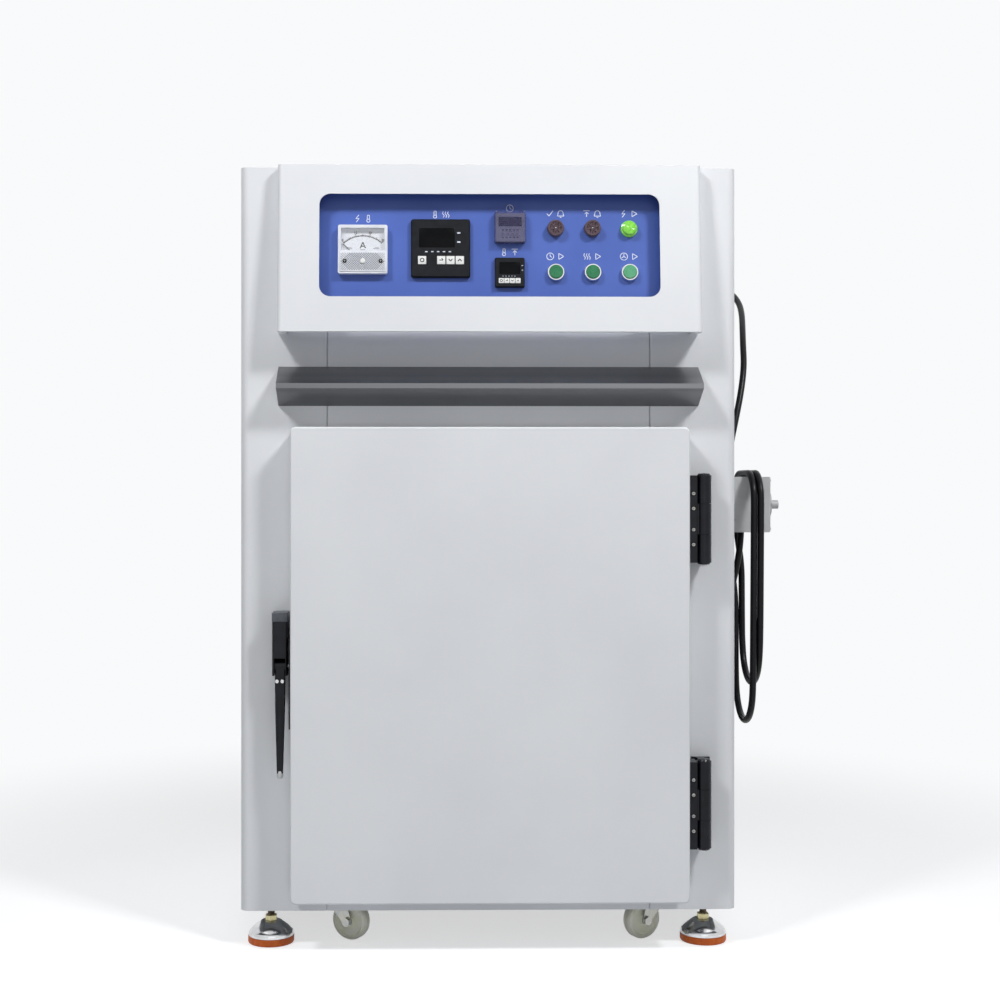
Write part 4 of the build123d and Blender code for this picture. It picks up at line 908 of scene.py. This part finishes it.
def makeLatchDetails():
    bevelledBlock(latchValues["cap"], (0, 0, 0), 1.2, 3)
    capPlace = Matrix.Translation(spot(*latchValues["capPlace"]))
    # the cap's grey is a painted highlight of light on the latch's sloping top face
    finishPiece("latchCap", "epoxyCoatPaintedHighlight", "casing", capPlace)
    pinY, pinZ = latchValues["pinPlace"]
    pinPlaces = [turnTo((way, 0, 0), spot(x, pinY, pinZ)) for x, way in latchValues["pinEnds"].items()]
    joined(spread(lathe(latchValues["pin"], 20), pinPlaces))
    finishPiece("latchPinEnds", "chromePlate", "casing")
    studPlaces = [turnTo((0, -1, 0), spot(*place)) for place in latchValues["studs"]]
    joined(spread(lathe(latchValues["stud"], 20), studPlaces))
    finishPiece("leverStuds", "chromePlate", "latch_lever")
    lathe(latchValues["tip"], 28)
    finishPiece("leverTip", "greyAbs", "latch_lever", Matrix.Translation(spot(*latchValues["tipPlace"])))


makeHingeScrews()
makeLatchDetails()
print("hardware made")

# Levelling feet and lifting eyes
footValues = {
    "places": [(x, y) for x in (-358, 358) for y in (38, 662)],
    "dome": [
        (36.4, 11), (37.4, 12), (37.4, 15), (36.9, 17), (35.6, 19), (35, 19.2), (32.6, 22.4), (27.4, 27),
        (22.2, 31), (18.6, 33.6), (16.6, 34.8), (15.4, 35), (8, 35),
    ],
    "nuts": ((35, 44.5), (83, 93)),      # lower and upper end of each
    "nutRadius": (9.2, 10.3),      # at its chamfers and between them
    "threadRadius": (5.3, 5.95),      # root and crest
    "threadSpan": (42, 121),
    "pitch": 1.75,
}
eyeValues = {
    "places": [(x, y, 1272) for x in (-256, 256) for y in (200, 500)],
    "ring": (17, 4.4),
    "ringUp": 25.2,
    "collar": [(5, -19), (5, 0), (11.6, 0.1), (12, 0.8), (12, 4), (11, 5.4), (7, 7), (4, 8)],
}


def footNuts():
    nuts = []
    narrow, wide = footValues["nutRadius"]
    for low, high in footValues["nuts"]:
        nuts.append(lathe([(narrow, low), (wide, low + 1), (wide, high - 1), (narrow, high)], 6))
    return joined(nuts)


def footStud():
    root, crest = footValues["threadRadius"]
    z, top = footValues["threadSpan"]
    profile = [(root - 0.1, z - 1)]
    while z < top:
        profile += [(root, z), (crest, z + footValues["pitch"] * 0.5)]
        z += footValues["pitch"]
    profile += [(root, top + 1), (root - 0.7, top + 2)]
    return lathe(profile, 24)


def makeFeet():
    places = [Matrix.Translation(spot(x, y, 0)) for x, y in footValues["places"]]
    pieces = (
        (lathe(footValues["dome"], 64), "footDomes", "chromePlate"),
        (footNuts(), "footNuts", "yellowZinc"),
        (footStud(), "footStuds", "threadedSteel"),
    )
    for first, name, finish in pieces:
        joined(spread(first, places))
        piece = finishPiece(name, finish, "casing", None)
        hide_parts("foot_stems")


def makeEyes():
    deselectAll()
    major, minor = eyeValues["ring"]
    bpy.ops.mesh.primitive_torus_add(major_radius=major * mm, minor_radius=minor * mm,
                                     major_segments=40, minor_segments=14)
    ring = bpy.context.object
    upright = Matrix.Rotation(math.radians(90), 4, "X")
    ring.data.transform(Matrix.Translation((0, 0, eyeValues["ringUp"] * mm)) @ upright)
    eye = joined([ring, lathe(eyeValues["collar"], 32)])
    joined(spread(eye, [Matrix.Translation(spot(*place)) for place in eyeValues["places"]]))
    piece = finishPiece("liftingEyes", "blackEpoxyCoat", "casing", None)
    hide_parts("lifting_eyes")


makeFeet()
makeEyes()
print("feet and eyes made")

# Isolator details
isolatorValues = {
    "place": (495.6, 170, 720.4),      # of the middle of the housing's outer face
    "pointer": (0.6, 12, 2),
    "pointerShift": (15.1, -12, 0),
    "screwsY": (-24, 24),
    "screwsZ": (-42, 42),
    "frontScrew": (430, 140.2, 694),
}


def makeIsolatorDetails():
    x, y, z = isolatorValues["place"]
    shiftOut, shiftBack, shiftUp = isolatorValues["pointerShift"]
    bevelledBlock(isolatorValues["pointer"], (0, 0, 0), 0.2, 1)
    pointerPlace = Matrix.Translation(spot(x + shiftOut, y + shiftBack, z + shiftUp))
    finishPiece("knobPointer", "blackInkAndPaintedSlotShade", "isolator_knob", pointerPlace)
    corners = [(dy, dz) for dy in isolatorValues["screwsY"] for dz in isolatorValues["screwsZ"]]
    places = [turnTo((1, 0, 0), spot(x - 0.2, y + dy, z + dz)) for dy, dz in corners]
    heads = spread(screwHead(2.6, 1.2), places)
    front = screwHead(3.4, 3)
    front.data.transform(turnTo((0, -1, 0), spot(*isolatorValues["frontScrew"])))
    rideScrews("isolatorScrews", "casing", heads + [front])


makeIsolatorDetails()
print("isolator made")

# Floor, backdrop and world
floorValues = {
    "size": (16, 10),      # metres
    "below": 0.0005,
    "tones": ("#C6C8CB", "#CFD1D3"),
    "cloudScale": 3.0,
    "glow": ("#FFFFFF", 0.6),      # lifts the tone that the camera sees, and lights nothing
    "far": ("#F9FAFB", 1.0),      # the backdrop's tone, which the floor fades to
    "fade": (0.7, 1.9),      # metres from the middle
}
worldValues = {"soft": ("#F4F6FA", 0.1), "seen": ("#F9FAFB", 1.0)}


def seenRays(tree):      # 1 for what the camera, gloss and clear covers show, 0 for light on things
    path = addNode(tree, "ShaderNodeLightPath")
    direct = addNode(tree, "ShaderNodeMath", {"operation": "MAXIMUM"},
                     {0: path.outputs["Is Camera Ray"], 1: path.outputs["Is Glossy Ray"]})
    every = addNode(tree, "ShaderNodeMath", {"operation": "MAXIMUM"},
                    {0: direct.outputs[0], 1: path.outputs["Is Transmission Ray"]})
    return every.outputs[0]


def toneAndStrength(values):
    tone, strength = values
    return {"Color": linearColour(tone), "Strength": strength}


def makeFloorMaterial():
    material = bpy.data.materials.new("palePaintedFloor")
    material.use_nodes = True
    tree = material.node_tree
    tree.nodes.clear()
    place = addNode(tree, "ShaderNodeTexCoord")
    cloud = addNode(tree, "ShaderNodeTexNoise", {"Scale": floorValues["cloudScale"], "Detail": 3.0},
                    {"Vector": place.outputs["Object"]})
    tone = addNode(tree, "ShaderNodeValToRGB", None, {"Fac": cloud.outputs["Fac"]})
    for stop, colour in zip(tone.color_ramp.elements, floorValues["tones"]):
        stop.color = linearColour(colour)
    matt = addNode(tree, "ShaderNodeBsdfDiffuse", None, {"Color": tone.outputs["Color"]})
    glow = addNode(tree, "ShaderNodeEmission", toneAndStrength(floorValues["glow"]))
    far = addNode(tree, "ShaderNodeEmission", toneAndStrength(floorValues["far"]))
    span = addNode(tree, "ShaderNodeVectorMath", {"operation": "LENGTH"}, {0: place.outputs["Object"]})
    near, away = floorValues["fade"]
    fade = addNode(tree, "ShaderNodeMapRange",
                   {"From Min": near, "From Max": away, "interpolation_type": "SMOOTHSTEP"},
                   {"Value": span.outputs["Value"]})
    lifted = addNode(tree, "ShaderNodeAddShader", None,
                     {0: matt.outputs["BSDF"], 1: glow.outputs["Emission"]})
    faded = addNode(tree, "ShaderNodeMixShader", None,
                    {"Fac": fade.outputs["Result"], 1: lifted.outputs["Shader"], 2: far.outputs["Emission"]})
    mixed = addNode(tree, "ShaderNodeMixShader", None,
                    {"Fac": seenRays(tree), 1: matt.outputs["BSDF"], 2: faded.outputs["Shader"]})
    addNode(tree, "ShaderNodeOutputMaterial", None, {"Surface": mixed.outputs["Shader"]})
    return material


def makeStage():
    deselectAll()
    bpy.ops.mesh.primitive_plane_add(size=1, location=(0, 0, -floorValues["below"]))
    floor = bpy.context.object
    floor.name = "studioFloor"
    bpy.ops.object.mode_set(mode="EDIT")
    bpy.ops.transform.resize(value=(*floorValues["size"], 1), center_override=(0, 0, 0))
    bpy.ops.mesh.subdivide(number_cuts=3)
    bpy.ops.object.mode_set(mode="OBJECT")
    floor.data.materials.append(makeFloorMaterial())


def makeWorld():
    world = bpy.data.worlds.new("studio")
    bpy.context.scene.world = world
    world.use_nodes = True
    tree = world.node_tree
    tree.nodes.clear()
    soft = addNode(tree, "ShaderNodeBackground", toneAndStrength(worldValues["soft"]))
    seen = addNode(tree, "ShaderNodeBackground", toneAndStrength(worldValues["seen"]))
    mixed = addNode(tree, "ShaderNodeMixShader", None,
                    {"Fac": seenRays(tree), 1: soft.outputs["Background"], 2: seen.outputs["Background"]})
    addNode(tree, "ShaderNodeOutputWorld", None, {"Surface": mixed.outputs["Shader"]})


makeStage()
makeWorld()
bpy.context.scene.view_settings.view_transform = "Standard"

print("all pieces made")
